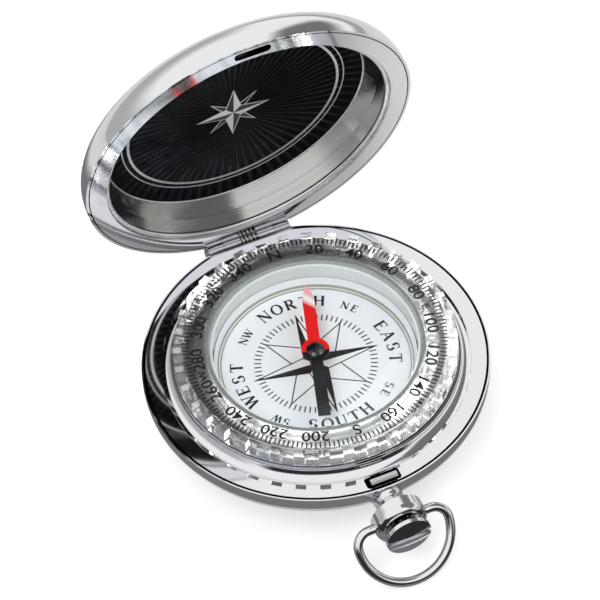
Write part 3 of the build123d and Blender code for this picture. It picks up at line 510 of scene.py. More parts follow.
class Nodes:
    """A node tree, with short ways to add nodes to it and to fill their inputs."""

    def __init__(self, tree):
        self.tree = tree

    def fill(self, socket, value):
        """Link an output to a socket, or set the socket to a plain value. A colour gets an alpha of 1."""
        if isinstance(value, bpy.types.NodeSocket):
            self.tree.links.new(value, socket)
        else:
            socket.default_value = (*value, 1.0) if socket.type == "RGBA" else value

    def fill_all(self, node, inputs):
        """Fill inputs of a node by name, where an underscore stands for a space."""
        for name, value in inputs.items():
            self.fill(node.inputs[name.replace("_", " ")], value)

    def add(self, kind, settings=None, **inputs):
        """A new shader node with its settings made and its inputs filled."""
        node = self.tree.nodes.new("ShaderNode" + kind)
        for name, value in (settings or {}).items():
            setattr(node, name, value)
        self.fill_all(node, inputs)
        return node

    def math(self, operation, *values):
        """What a Math node makes of sockets and numbers."""
        node = self.add("Math", {"operation": operation})
        for socket, value in zip(node.inputs, values):
            self.fill(socket, value)
        return node.outputs[0]

    def product(self, value, *others):
        """Sockets and numbers multiplied."""
        for other in others:
            value = self.math("MULTIPLY", value, other)
        return value

    def axes(self, vector):
        """The X, Y and Z of a vector."""
        return list(self.add("SeparateXYZ", Vector=vector).outputs)

    def radius(self, x, y):
        """Distance from the Z axis."""
        return self.math("SQRT", self.math("MULTIPLY_ADD", x, x, self.math("MULTIPLY", y, y)))

    def noise(self, vector, scale, detail=3.0):
        """Noise over a vector."""
        return self.add("TexNoise", Vector=vector, Scale=scale, Detail=detail).outputs["Fac"]

    def mix(self, factor, first, second):
        """Two colours mixed by a factor."""
        return self.add("Mix", {"data_type": "RGBA"}, Factor=factor, A=first, B=second).outputs["Result"]

    def between(self, value, start, end, low=0.0, high=1.0, way="SMOOTHSTEP"):
        """A value that goes from low to high as another goes from start to end."""
        return self.add("MapRange", {"interpolation_type": way}, Value=value, From_Min=start, From_Max=end,
                        To_Min=low, To_Max=high).outputs["Result"]


# Shared shader effects

def shader_group(name, inputs, outputs):
    """An empty node group with named sockets: its nodes, what comes in and what goes out."""
    tree = bpy.data.node_groups.new(name, "ShaderNodeTree")
    kinds = {"Vector": "NodeSocketVector", "Colour": "NodeSocketColor"}
    for way, sockets in (("INPUT", inputs), ("OUTPUT", outputs)):
        for socket in sockets:
            tree.interface.new_socket(socket, in_out=way, socket_type=kinds.get(socket, "NodeSocketFloat"))
    return Nodes(tree), tree.nodes.new("NodeGroupInput").outputs, tree.nodes.new("NodeGroupOutput")


SMUDGE_CONTRAST = 3.0              # power that gathers smudges into clouds
HAIRLINE_STRETCH = (1.0, 14.0, 6.0)
HAIRLINE_SHARE = 0.15              # hairlines as a share of the smudges
BRUSH_DRIFT = 0.0012               # how far the pattern of brush lines moves in a radian, in metres


@cache
def handling_marks():
    """Handling marks on polished metal: cloudy smudges and fine hairlines that vary the roughness."""
    nodes, given, made = shader_group("Handling marks", ("Vector", "Roughness", "Smudge"), ("Roughness",))
    cloudy = nodes.math("POWER", nodes.noise(given["Vector"], scale=110.0, detail=4.0), SMUDGE_CONTRAST)
    drawn_out = nodes.add("Mapping", Vector=given["Vector"], Scale=HAIRLINE_STRETCH).outputs[0]
    faint = nodes.math("MULTIPLY", given["Smudge"], HAIRLINE_SHARE)
    marks = nodes.math("MULTIPLY_ADD", nodes.noise(drawn_out, scale=900.0, detail=2.0), faint,
                       nodes.math("MULTIPLY", cloudy, given["Smudge"]))
    nodes.fill_all(made, {"Roughness": nodes.math("ADD", given["Roughness"], marks)})
    return nodes.tree


@cache
def fine_grain():
    """Fine grain for paint, ink, paper and moulded plastic: a mottled tint and a small height."""
    nodes, given, made = shader_group("Fine grain", ("Vector", "Colour", "Scale", "Mottle"),
                                      ("Colour", "Height"))
    fine = nodes.noise(given["Vector"], given["Scale"])
    broad = nodes.noise(given["Vector"], scale=60.0, detail=2.0)
    spread = nodes.math("SUBTRACT", nodes.math("ADD", fine, broad), 1.0)
    level = nodes.math("MULTIPLY_ADD", spread, given["Mottle"], 1.0)
    tint = nodes.add("VectorMath", {"operation": "SCALE"}, Vector=given["Colour"], Scale=level)
    nodes.fill_all(made, {"Colour": tint.outputs[0], "Height": fine})
    return nodes.tree


@cache
def brush_lines():
    """Brush lines round an axis: noise over height and radius, hardly changing with the angle."""
    nodes, given, made = shader_group("Brush lines", ("Vector", "Roughness", "Depth"),
                                      ("Roughness", "Height", "Shade"))
    x, y, z = nodes.axes(given["Vector"])
    along = nodes.math("MULTIPLY", nodes.math("ARCTAN2", y, x), BRUSH_DRIFT)
    unrolled = nodes.add("CombineXYZ", X=along, Y=nodes.radius(x, y), Z=z).outputs[0]
    lines = nodes.noise(unrolled, scale=6000.0)
    bands = nodes.noise(unrolled, scale=700.0, detail=2.0)
    rough = nodes.math("MULTIPLY_ADD", nodes.math("SUBTRACT", lines, 0.5), given["Depth"], given["Roughness"])
    nodes.fill_all(made, {"Roughness": rough, "Height": lines, "Shade": bands})
    return nodes.tree


# Finishes

class Finish(Nodes):
    """A material in the making, with its Principled BSDF and its Object coordinates."""

    def __init__(self, name, **inputs):
        self.material = bpy.data.materials.new(name)
        self.material.use_nodes = True
        super().__init__(self.material.node_tree)
        self.shader = self.tree.nodes["Principled BSDF"]
        self.place = self.add("TexCoord").outputs["Object"]
        self.set(**inputs)

    def set(self, **inputs):
        """Fill inputs of the shader."""
        self.fill_all(self.shader, inputs)

    def effect(self, group, vector=None, **values):
        """A shared effect with its own values. Returns what it puts out."""
        vector = self.place if vector is None else vector
        return self.add("Group", {"node_tree": group}, Vector=vector, **values).outputs

    def bump(self, height, depth):
        """Feed a height into the shader's normal, with its depth in millimetres."""
        self.set(Normal=self.add("Bump", Strength=1.0, Distance=depth * MM, Height=height).outputs[0])

    def grain(self, base, scale, mottle, depth, vector=None):
        """Give the shader a colour with a fine grain."""
        grain = self.effect(fine_grain(), vector, Colour=base, Scale=scale, Mottle=mottle)
        self.set(Base_Color=grain["Colour"])
        self.bump(grain["Height"], depth)

    def mark(self, roughness, smudge):
        """The roughness of a surface with handling marks."""
        return self.effect(handling_marks(), Roughness=roughness, Smudge=smudge)["Roughness"]

    def lid_place(self):
        """Object coordinates turned to the lid's own axis, as if the lid were shut."""
        shut = Matrix.Rotation(OPEN_ANGLE, 3, "X")
        return self.add("Mapping", Vector=self.place, Rotation=(OPEN_ANGLE, 0.0, 0.0),
                        Location=Vector(HINGE) - shut @ Vector(HINGE)).outputs[0]


JOINT_LINE = 0.2 * MM              # dark line inside the outer edge of a rim
WINDOW_SIDE = 1.0 * MM             # painted shade, black, in the latch's window, beside the hook,
WINDOW_BACK = 0.08 * MM            # outside the rim's inner edge
WINDOW_FRONT = 0.24 * MM           # and in front of the hook
TOP_DULL, BORE_DULL = 0.2, 0.4     # more roughness on the collar's top and in its bore
PAINTED_SHADE_BAND = (22.9 * MM, 24.3 * MM)  # painted shade: a dark band of the collar under the turning ring
PAINTED_SHADE_SOFT = 0.4 * MM              # how far its edges fade
CAPSULE_INDEX = 1.02               # how far the thin clear pieces bend light
RING_INDEX = 1.1                   # how far the thick turning ring bends it
PAINTED_GLARE_FADE = (0.70, 0.79, 0.84, 0.90)  # shares of the blade where its painted glare, a pale band, rises and falls
PAINTED_GLARE_SLANT = 0.9                    # how far that painted glare leans
HUB_BORDER = -0.4 * MM             # where the hub's two colours meet, to the north of its pivot
BAND_SPOTS, BAND_LEVELS = (0.3, 0.7), (0.86, 1.0)  # where the brushed bands change, and how bright they are
SHEEN_GROWS = (0.2, 0.9)           # shares of the liner's radius between which the painted sheen of its folds grows
SHEEN_DROPS = (0.84, 0.92)         # and between which it drops, outside the rings,
SHEEN_LEFT = 0.35                  # to this share
SHEEN_PATCHES = 9.0                # how fine the patches of the sheen are,
SHEEN_GAIN, SHEEN_CUT = 2.4, -0.6  # how strong they are and how much of them is cut


def polished(name, base, roughness, smudge=0.05):
    """Polished metal with handling marks."""
    finish = Finish(name, Base_Color=base, Metallic=1.0)
    finish.set(Roughness=finish.mark(roughness, smudge))
    return finish


def windowed(name, base, roughness, black):
    """Polished metal with a dark joint line, and painted shade, black, inside the latch's window, below the
    rim's face.
    """
    finish = polished(name, base, roughness)
    x, y, z = finish.axes(finish.place)
    # painted shade: black inside the latch's window
    inside = finish.product(
        finish.math("LESS_THAN", finish.math("ABSOLUTE", x), HOOK_HIGH.x + WINDOW_SIDE),
        finish.math("LESS_THAN", z, RIM_FACE - NEAR),
        finish.math("LESS_THAN", y, -RIM_RADIUS - WINDOW_BACK),
        finish.math("GREATER_THAN", y, HOOK_LOW.y - WINDOW_FRONT))
    line = finish.math("GREATER_THAN", finish.radius(x, y), RIM_EDGE - JOINT_LINE)
    finish.set(Base_Color=finish.mix(finish.math("MAXIMUM", inside, line), base, black))
    return finish


def dark_edged(name, base, roughness, black):
    """Polished metal of the lid's rim, with a dark joint line along its outer edge."""
    finish = polished(name, base, roughness)
    x, y, z = finish.axes(finish.lid_place())
    line = finish.math("GREATER_THAN", finish.radius(x, y), LID_RIM_EDGE - JOINT_LINE)
    finish.set(Base_Color=finish.mix(line, base, black))
    return finish


def satin_topped(name, base, roughness, shade):
    """Polished metal whose top face and bore, under the turning ring and round the cup, are satin.

    The top face has a band of painted shade round it.
    """
    finish = Finish(name, Metallic=1.0)
    x, y, z = finish.axes(finish.place)
    radius = finish.radius(x, y)
    top = finish.math("GREATER_THAN", z, COLLAR_FACE - NEAR)
    bore = finish.math("LESS_THAN", radius, COLLAR_BORE + NEAR)
    dull = finish.math("MULTIPLY_ADD", top, TOP_DULL, finish.math("MULTIPLY", bore, BORE_DULL))
    inner, outer = PAINTED_SHADE_BAND
    # painted shade: the dark band on the top face under the turning ring
    band = finish.product(top, finish.between(radius, inner - PAINTED_SHADE_SOFT, inner + PAINTED_SHADE_SOFT),
                          finish.between(radius, outer + PAINTED_SHADE_SOFT, outer - PAINTED_SHADE_SOFT))
    finish.set(Base_Color=finish.mix(band, base, shade),
               Roughness=finish.math("ADD", dull, finish.mark(roughness, 0.03)))
    return finish


def satin(name, base, roughness, metallic=1.0, black=None, painted_shade_below=0.0):
    """Satin steel with a fine grain. Where a black is given, it is painted below a height, as painted shade.
    """
    finish = Finish(name, Metallic=metallic, Roughness=roughness)
    if black is not None:
        above = finish.math("GREATER_THAN", finish.axes(finish.place)[2], painted_shade_below)
        base = finish.mix(above, black, base)
    finish.grain(base, scale=2500.0, mottle=0.12, depth=0.004)
    return finish


def painted(name, base, roughness, scale=3000.0, mottle=0.08, depth=0.003, coat=0.0):
    """Paint, ink, paper or opaque plastic with a fine grain."""
    finish = Finish(name, Roughness=roughness, Coat_Weight=coat, Coat_Roughness=0.05)
    finish.grain(base, scale, mottle, depth)
    return finish


def brushed(name, base, roughness):
    """Steel brushed round the lid's axis, with soft darker and lighter bands."""
    finish = Finish(name, Metallic=1.0)
    lines = finish.effect(brush_lines(), finish.lid_place(), Roughness=roughness, Depth=0.16)
    ramp = finish.add("ValToRGB", Fac=lines["Shade"])
    for stop, spot, level in zip(ramp.color_ramp.elements, BAND_SPOTS, BAND_LEVELS):
        stop.position = spot
        stop.color = (*[level * part for part in base], 1.0)
    finish.set(Base_Color=ramp.outputs["Color"], Roughness=lines["Roughness"])
    finish.bump(lines["Height"], depth=0.01)
    return finish


def lacquer(name, base, fold, pleats):
    """Black lacquer with a fine grain and an uneven painted sheen, a paler colour, on one side of each fold.

    The painted sheen grows from the middle to the rings, and is faint outside them.
    """
    finish = Finish(name, Roughness=0.3, Specular_IOR_Level=0.03)
    flat = finish.lid_place()
    x, y, z = finish.axes(flat)
    radius = finish.radius(x, y)
    wave = finish.math("SINE", finish.math("MULTIPLY", finish.math("ARCTAN2", y, x), float(pleats)))
    direction = finish.add("VectorMath", {"operation": "NORMALIZE"}, Vector=flat).outputs[0]
    uneven = finish.math("MULTIPLY_ADD", finish.noise(direction, SHEEN_PATCHES), SHEEN_GAIN, SHEEN_CUT)
    grows, drops = np.array([SHEEN_GROWS, SHEEN_DROPS]) * LINER_RADIUS
    # painted sheen on one side of each fold
    painted_sheen = finish.product(
        finish.math("MAXIMUM", wave, 0.0), finish.math("MAXIMUM", uneven, 0.0),
        finish.between(radius, *grows),
        finish.between(radius, *drops, low=1.0, high=SHEEN_LEFT, way="LINEAR"))
    finish.grain(finish.mix(painted_sheen, base, fold), scale=1800.0, mottle=0.5, depth=0.004, vector=flat)
    return finish


def clear(name, base, passing, index=CAPSULE_INDEX, coat=1.0):
    """Clear or milky plastic or glass under a glossy coat. What doesn't pass through it scatters."""
    finish = Finish(name, Base_Color=base, Transmission_Weight=passing, IOR=index, Coat_Weight=coat,
                    Coat_Roughness=0.02)
    finish.set(Roughness=finish.mark(0.0, 0.03))
    path = finish.add("LightPath").outputs
    mix = finish.add("MixShader", Fac=finish.math("MAXIMUM", path["Is Shadow Ray"], path["Is Diffuse Ray"]))
    finish.fill(mix.inputs[1], finish.shader.outputs[0])
    finish.fill(mix.inputs[2], finish.add("BsdfTransparent", Color=base).outputs[0])
    finish.fill_all(finish.tree.nodes["Material Output"], {"Surface": mix.outputs[0]})
    return finish


def two_halves(name, north, south, clockwise, border, roughness, tip=None):
    """Enamel in two colours that meet across the needle, a distance to the north of its pivot.

    Where a tip colour is given, a slanted band of it, a painted glare, crosses the north half.
    """
    finish = Finish(name, Roughness=roughness)
    along = finish.add("Mapping", Vector=finish.place, Rotation=(0.0, 0.0, clockwise)).outputs[0]
    x, y, z = finish.axes(along)
    # painted highlight: the pale glare band
    if tip is not None:
        slant = finish.math("MULTIPLY_ADD", x, PAINTED_GLARE_SLANT, y)
        ramp = finish.add("ValToRGB", Fac=finish.math("DIVIDE", slant, BLADE_REACH))
        rosy = [(a + b) / 2 for a, b in zip(north, tip)]
        stops = ramp.color_ramp.elements
        for spot, level in zip(PAINTED_GLARE_FADE, (north, tip, tip, rosy)):
            stops.new(spot).color = (*level, 1.0)
        stops[0].color, stops[-1].color = (*north, 1.0), (*rosy, 1.0)
        north = ramp.outputs["Color"]
    side = finish.math("GREATER_THAN", y, border)
    finish.grain(finish.mix(side, south, north), scale=2200.0, mottle=0.06, depth=0.003)
    return finish


def lined_wall(name, base, line, width):
    """White paint with two grey lines: one at the foot and one at the outer edge of the step."""
    finish = Finish(name, Roughness=0.4)
    low_edge, step_edge = np.unique(np.round(from_axis(node_points("dial_wall")) / MM, 2))[:2] * MM
    x, y, z = finish.axes(finish.place)
    radius = finish.radius(x, y)
    lines = finish.math("MAXIMUM", finish.math("COMPARE", radius, low_edge, width),
                        finish.math("COMPARE", radius, step_edge, width / 2))
    finish.grain(finish.mix(lines, base, line), scale=2600.0, mottle=0.03, depth=0.002)
    return finish


def finish_nodes(finish, *nodes):
    """Give CAD nodes a finish."""
    for node in nodes:
        materials = frame["nodes"][node].data.materials
        materials.clear()
        materials.append(finish.material)


# Pieces

class COMPASS_OT_case(bpy.types.Operator):
    """Polish the bowl, its flat rim and the collar."""

    bl_idname = "compass.dress_case"
    bl_label = "Case"

    def execute(self, context):
        look = context.scene.compass_finish
        metal = (look.chrome, look.chrome_roughness)
        finish_nodes(polished("Case chrome", *metal), "case_shell")
        finish_nodes(windowed("Rim chrome", *metal, look.blacked), "case_rim")
        finish_nodes(satin_topped("Collar chrome", *metal, look.shade), "well_ring")
        return {"FINISHED"}


class COMPASS_OT_pendant(bpy.types.Operator):
    """Polish the neck, the block, the bow and the push crown, and make the crown's coil."""

    bl_idname = "compass.dress_pendant"
    bl_label = "Pendant, bow and crown"

    def execute(self, context):
        look = context.scene.compass_finish
        finish_nodes(polished("Pendant chrome", look.chrome, look.chrome_roughness, smudge=0.06),
                     "pendant_neck", "bow_block", "crown_button", "bow")
        steel = satin("Crown steel", look.steel, roughness=0.3)
        finish_nodes(steel, "crown_stem")
        coil = remade("crown_coil", "crown_spring", "case", steel)
        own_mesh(coil)
        return {"FINISHED"}


class COMPASS_OT_hinge(bpy.types.Operator):
    """Polish the hinge ear and leaf, and give the pin and the coil satin steel."""

    bl_idname = "compass.dress_hinge"
    bl_label = "Hinge"

    def execute(self, context):
        look = context.scene.compass_finish
        # painted shade: darker chrome on the knuckles
        finish_nodes(polished("Hinge chrome", look.hinge, roughness=0.12, smudge=0.1),
                     "hinge_ear", "lid_hinge_leaf")
        finish_nodes(satin("Hinge steel", look.steel, roughness=0.22), "hinge_pin", "hinge_spring")
        return {"FINISHED"}


class COMPASS_OT_latch(bpy.types.Operator):
    """Give the hook in the window satin steel, with painted shade, black, below the rim's face."""

    bl_idname = "compass.dress_latch"
    bl_label = "Latch"

    def execute(self, context):
        look = context.scene.compass_finish
        finish_nodes(satin("Latch steel", look.steel, roughness=0.25, black=look.blacked,
                           painted_shade_below=RIM_FACE + NEAR), "latch_catch")
        return {"FINISHED"}


class COMPASS_OT_capsule(bpy.types.Operator):
    """Make the cup milky, and the crystal, its seal and its retaining ring clear."""

    bl_idname = "compass.dress_capsule"
    bl_label = "Capsule"

    def execute(self, context):
        look = context.scene.compass_finish
        finish_nodes(clear("Capsule plastic", look.milky, passing=0.2), "capsule_body")
        finish_nodes(clear("Retainer plastic", look.clear, passing=0.96, coat=0.5), "bezel_retainer")
        finish_nodes(clear("Crystal glass", look.clear, passing=1.0, coat=0.3), "crystal")
        finish_nodes(clear("Seal silicone", look.clear, passing=0.9), "crystal_gasket")
        return {"FINISHED"}


class COMPASS_OT_dial(bpy.types.Operator):
    """Whiten the dial and its wall, and print its ticks, rose and words."""

    bl_idname = "compass.print_dial"
    bl_label = "Dial"

    def execute(self, context):
        look, sizes = context.scene.compass_finish, context.scene.compass_print
        finish_nodes(painted("Dial white", look.dial, roughness=0.45, scale=2600.0, mottle=0.02, depth=0.002),
                     "dial_plate")
        finish_nodes(lined_wall("Dial wall white", look.dial, look.dial_line, sizes.edge_line), "dial_wall")
        finish_nodes(satin("Pivot steel", look.steel, roughness=0.2), "pivot_post")
        ink = painted("Dial ink", look.ink, roughness=0.5)
        low = DIAL_FACE + LIFT
        high = low + sizes.ink_thickness
        ticks = spokes(sizes.tick_count, sizes.tick_inner, sizes.tick_outer, sizes.tick_width, low, high)
        words = []
        for quarter, text in enumerate(("NORTH", "EAST", "SOUTH", "WEST")):
            inward = text == "SOUTH"
            base = sizes.inward_base if inward else sizes.word_base
            words += word(text, quarter * pi / 2, sizes.word_step, base, sizes.word_height, low, high, inward)
        for quarter, text in enumerate(("NE", "SE", "SW", "NW")):
            words += word(text, (quarter + 0.5) * pi / 2, sizes.pair_step, sizes.pair_base,
                          sizes.pair_height, low, high)
        for name, meshes in (("dial_ticks", [ticks]), ("dial_rose", rose(sizes, low, high)),
                             ("dial_words", words)):
            points, faces = joined(meshes)
            piece(name, "case", turned_by(points, sizes.dial_turn), faces, ink)
        return {"FINISHED"}


def rose(sizes, low, high):
    """Eight-point rose: main points half solid and half outlined, diagonal points outlined.

    A main point runs from its tip to the two waists beside it. Its counter-clockwise half is a plate, and
    an outline closes the other half.
    """
    meshes = []
    for main in round_angles(4):
        tip = spoke(main, sizes.rose_long)
        left, right = (spoke(main + side * pi / 4, sizes.rose_waist) for side in (-1, 1))
        meshes.append(plate([(0, 0), left, tip], low, high))
        meshes.append(strip([tip, right], sizes.rose_line, low, high))
        meshes.append(strip([right, (0, 0)], sizes.rose_line, low, high))
        diagonal = main + pi / 4
        short_tip = spoke(diagonal, sizes.rose_short)
        for side in (-1, 1):
            aim = spoke(diagonal + side * pi / 8, sizes.rose_short_waist)
            flank = (spoke(diagonal + side * pi / 4, sizes.rose_long), spoke(diagonal, sizes.rose_waist))
            meshes.append(strip([short_tip, crossing(short_tip, aim, *flank)], sizes.rose_line, low, high))
    return meshes


def crossing(first, second, third, fourth):
    """Where the line through two points crosses the line through two others."""
    shares = np.linalg.solve(np.stack([second - first, third - fourth], 1), third - first)
    return first + shares[0] * (second - first)


def spoke(clockwise, radius):
    """Point at a clockwise angle from +Y and a distance from the axis."""
    return np.array([radius * sin(clockwise), radius * cos(clockwise)])


class COMPASS_OT_ring(bpy.types.Operator):
    """Make the turning ring clear and print its degree scale."""

    bl_idname = "compass.print_ring"
    bl_label = "Turning ring"

    def execute(self, context):
        look, sizes = context.scene.compass_finish, context.scene.compass_print
        finish_nodes(clear("Ring plastic", look.clear, passing=0.97, index=RING_INDEX), "bezel_ring")
        ink = painted("Scale ink", look.ink, roughness=0.4)
        low = RING_FACE + LIFT
        high = low + sizes.ink_thickness
        long_ones = np.arange(sizes.scale_ticks) % sizes.scale_every == 0
        ticks = spokes(sizes.scale_ticks, sizes.scale_inner,
                       np.where(long_ones, sizes.scale_long, sizes.scale_outer), sizes.scale_width, low, high)
        labels = {degree: str(degree) for degree in range(sizes.digit_step, 360, sizes.digit_step)}
        labels.update({0: "N", 90: "E", 180: "S", 270: "W"})
        middle = (low + high) / 2
        numbers = joined([scale_label(text, degree, sizes, middle) for degree, text in labels.items()])
        for name, (points, faces) in (("ring_ticks", ticks), ("ring_numbers", numbers)):
            piece(name, "bezel", turned_by(points, sizes.ring_turn), faces, ink)
        return {"FINISHED"}


def scale_label(text, degree, sizes, middle):
    """A number of the degree scale, or a smaller letter where it stands between two numbers."""
    part = 1.0 if degree % sizes.digit_step == 0 else sizes.letter_share
    size = part * sizes.digit_height
    flat, faces = printed_text(text, size / CAPITAL_SHARE, sizes.ink_thickness, part * sizes.digit_weight)
    wide = flat[:, :2] * [sizes.digit_stretch, 1.0]
    base = sizes.digit_base + (sizes.digit_height - size) / 2
    return round_axis(wide, flat[:, 2] + middle, radians(degree), base), faces


class COMPASS_OT_needle(bpy.types.Operator):
    """Enamel the needle red and black, with its hub, jewel and cap."""

    bl_idname = "compass.make_needle"
    bl_label = "Needle"

    def execute(self, context):
        look = context.scene.compass_finish
        blade = node_points("needle_blade")
        tip = blade[np.argmax(blade[:, 1])]
        colours = (look.red, look.black, atan2(tip[0], tip[1]))
        finish_nodes(two_halves("Needle enamel", *colours, border=0.0, roughness=0.4, tip=look.tip),
                     "needle_blade")
        finish_nodes(two_halves("Hub enamel", *colours, border=HUB_BORDER, roughness=0.3), "needle_hub")
        cap = painted("Cap black", look.black, roughness=0.08, depth=0.0003)
        remade("needle_cap", "pivot_cap", "needle", cap)
        finish_nodes(painted("Jewel red", look.jewel, roughness=0.05, coat=1.0), "pivot_jewel")
        return {"FINISHED"}


class COMPASS_OT_lid(bpy.types.Operator):
    """Polish the lid, brush its inner wall and add the bright lip and the bead at the liner."""

    bl_idname = "compass.dress_lid"
    bl_label = "Lid"

    def execute(self, context):
        look, sizes = context.scene.compass_finish, context.scene.compass_lid
        dome = polished("Lid chrome", look.chrome, look.chrome_roughness)
        remade("lid_dome", "lid_shell", "lid", dome)
        finish_nodes(dark_edged("Lid rim chrome", look.chrome, 2 * look.chrome_roughness, look.blacked),
                     "lid_rim")
        finish_nodes(brushed("Brushed band", look.brushed, roughness=0.1), "lid_inner_wall")
        trim = polished("Lip chrome", look.silver, roughness=0.2)
        for name, radius, height, size in (
                ("lid_lip", sizes.lip_radius, WALL_RIM + sizes.lip, sizes.lip),
                ("liner_bead", sizes.edge_radius, LINER_EDGE, sizes.bead)):
            points, faces = bead(radius, height, size)
            piece(name, "lid", open_lid(points), faces, trim, sharp=60.0)
        return {"FINISHED"}


class COMPASS_OT_liner(bpy.types.Operator):
    """Pleat the black liner into a sunburst and give its two rings satin silver."""

    bl_idname = "compass.make_liner"
    bl_label = "Liner"

    def execute(self, context):
        look, sizes = context.scene.compass_finish, context.scene.compass_lid
        points, faces = pleated(sizes)
        black = lacquer("Liner lacquer", look.liner, look.fold, sizes.pleats)
        liner = piece("pleated_liner", "lid", open_lid(points), faces, black, sharp=40.0)
        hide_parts("lid_liner")
        finish_nodes(satin("Ring silver", look.silver, roughness=0.3, metallic=0.6),
                     "liner_ring_wide", "liner_ring_thin")
        return {"FINISHED"}


PLEAT_COLUMNS = 8                  # points across a pleat
FLAT_ROWS, SLOPE_ROWS = 24, 6      # rings of points on the liner's flat and on its slope
WALL_FADE = 0.8                    # share of a fold's depth that is lost at the wall


def pleated(sizes):
    """A disc with radial folds: its face sinks by a raised cosine of the angle, once for each pleat.

    The depth of a fold is the slope times half its width, so it grows with the radius. Inside the start
    radius and towards the wall the folds fade out. The face slopes up to the wall outside the flat, and the
    back is plain.
    """
    columns = PLEAT_COLUMNS * sizes.pleats
    angle = round_angles(columns)
    radius = np.concatenate([[0.0], np.linspace(sizes.pleat_start, sizes.flat_radius, FLAT_ROWS),
                             np.linspace(sizes.flat_radius, sizes.edge_radius, SLOPE_ROWS)[1:]])[:, None]
    rise = np.clip((radius - sizes.flat_radius) / (sizes.edge_radius - sizes.flat_radius), 0, 1)
    fade = np.clip(radius / sizes.pleat_start - 1, 0, 1)
    depth = sizes.pleat_slope * pi * radius / sizes.pleats * fade * (1 - WALL_FADE * rise)
    sink = depth * (0.5 - 0.5 * np.cos(sizes.pleats * angle))
    face = LINER_FACE + (LINER_EDGE - LINER_FACE) * rise + sink
    wall_radius = np.array([[LINER_RADIUS], [LINER_RADIUS], [sizes.flat_radius], [0.0]])
    back_low = LINER_EDGE + (LINER_BACK - LINER_FACE)
    wall_height = np.array([[LINER_EDGE], [back_low], [LINER_BACK], [LINER_BACK]]) * np.ones(columns)
    radius = np.concatenate([radius, wall_radius])
    height = np.concatenate([face, wall_height])
    points = np.stack([radius * np.cos(angle), radius * np.sin(angle), height], -1)
    return points.reshape(-1, 3), grid_faces(len(radius), columns, wrap_columns=True)


class COMPASS_OT_star(bpy.types.Operator):
    """Facet the silver star of the liner and lay black into it."""

    bl_idname = "compass.make_star"
    bl_label = "Star"

    def execute(self, context):
        look, sizes = context.scene.compass_finish, context.scene.compass_lid
        (points, faces), (inlay_points, inlay_faces) = faceted_star(sizes)
        silver = satin("Star silver", look.silver, roughness=0.35, metallic=0.7)
        star = piece("faceted_star", "lid", open_lid(points), faces, silver, sharp=3.0)
        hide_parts("lid_star")
        black = painted("Inlay black", look.liner, roughness=0.3)
        piece("star_inlay", "lid", open_lid(inlay_points), inlay_faces, black)
        return {"FINISHED"}


INLAY_STAND = 3 * LIFT             # how far the black inlays stand above their facets


def faceted_star(sizes):
    """Four main points with ridges over four flat diagonal ones, and black inlays inside silver outlines.

    A flank runs straight from a main tip to its waist on the diagonal, and a diagonal point stands on it
    part of the way along. The middle is as high as the CAD star, and the outline stands just above the
    liner. An inlay is a facet drawn in towards its inner corner, so that a silver line is left along its
    outer edge. It lies in the clockwise half of each main point and in both halves of each diagonal one.
    """
    outline = shut_points("lid_star")
    reach = from_axis(outline)
    diagonal_reach = reach[np.abs(np.abs(outline[:, 0]) - np.abs(outline[:, 1])) < LIFT].max()
    quarter = round_angles(4)
    edge = LINER_FACE - sizes.star_edge

    def ring(angle, radius, height):
        return np.stack([radius * np.sin(angle), radius * np.cos(angle), np.full(4, height)], -1)

    tip = ring(quarter, reach.max(), edge)
    short = ring(quarter + pi / 4, diagonal_reach, edge)
    inner = ring(quarter + pi / 4, sizes.star_waist, edge)
    next_tip, middle = np.roll(tip, -1, 0), ring(quarter, 0.0, STAR_FACE)
    right = tip + (inner - tip) * sizes.star_stand
    left = next_tip + (inner - next_tip) * sizes.star_stand
    facets = np.stack([np.stack(corners, 1) for corners in (
        (middle, tip, right), (middle, right, inner), (inner, right, short), (inner, short, left),
        (middle, inner, left), (middle, left, next_tip))], 1).reshape(-1, 3)
    rim = np.stack([tip, right, short, left], 1).reshape(-1, 3)
    low_rim = rim * [1, 1, 0] + [0, 0, LINER_FACE + LIFT]
    base = np.stack([low_rim, np.roll(low_rim, -1, 0), low_rim * [0, 0, 1]], 1).reshape(-1, 3)
    solid = joined([(facets, np.arange(len(facets)).reshape(-1, 3)),
                    (np.concatenate([rim, low_rim]), grid_faces(2, len(rim), wrap_columns=True)),
                    (base, np.arange(len(base)).reshape(-1, 3))])

    def drawn_in(pivot, first, second):
        span = second - first
        height = np.linalg.norm(np.cross(first - pivot, span), axis=1) / np.linalg.norm(span, axis=1)
        keep = (1 - sizes.star_line / height)[:, None]
        return np.stack([pivot, pivot + (first - pivot) * keep, pivot + (second - pivot) * keep], 1)

    dark = np.concatenate([drawn_in(middle, tip, inner), drawn_in(inner, right, short),
                           drawn_in(inner, short, left)])
    prism = [[0, 1, 2], [3, 5, 4], [0, 3, 4, 1], [1, 4, 5, 2], [2, 5, 3, 0]]
    inlays = [(np.concatenate([facet - [0, 0, INLAY_STAND], facet + [0, 0, LIFT]]), prism) for facet in dark]
    return solid, joined(inlays)


# Stage

class COMPASS_OT_stage(bpy.types.Operator):
    """Set the white surround, the floor, the lamps, the cards and the camera."""

    bl_idname = "compass.set_stage"
    bl_label = "Stage"

    def execute(self, context):
        scene, stage = context.scene, context.scene.compass_stage
        scene.view_settings.view_transform = "Standard"
        light_surround(scene, stage)
        lay_floor(stage)
        for lamp in LAMPS:
            add_lamp(*lamp, Vector(stage.camera_target))
        for card in CARDS:
            add_card(*card)
        add_camera(scene, stage)
        return {"FINISHED"}


# Name, place, width and power of each lamp
LAMPS = (
    ("key_lamp", (-0.35, -0.25, 0.75), 0.5, 4.2),
    ("fill_lamp", (0.55, -0.15, 0.6), 0.5, 2.1),
    ("back_lamp", (0.05, 0.6, 0.65), 0.4, 1.5),
)

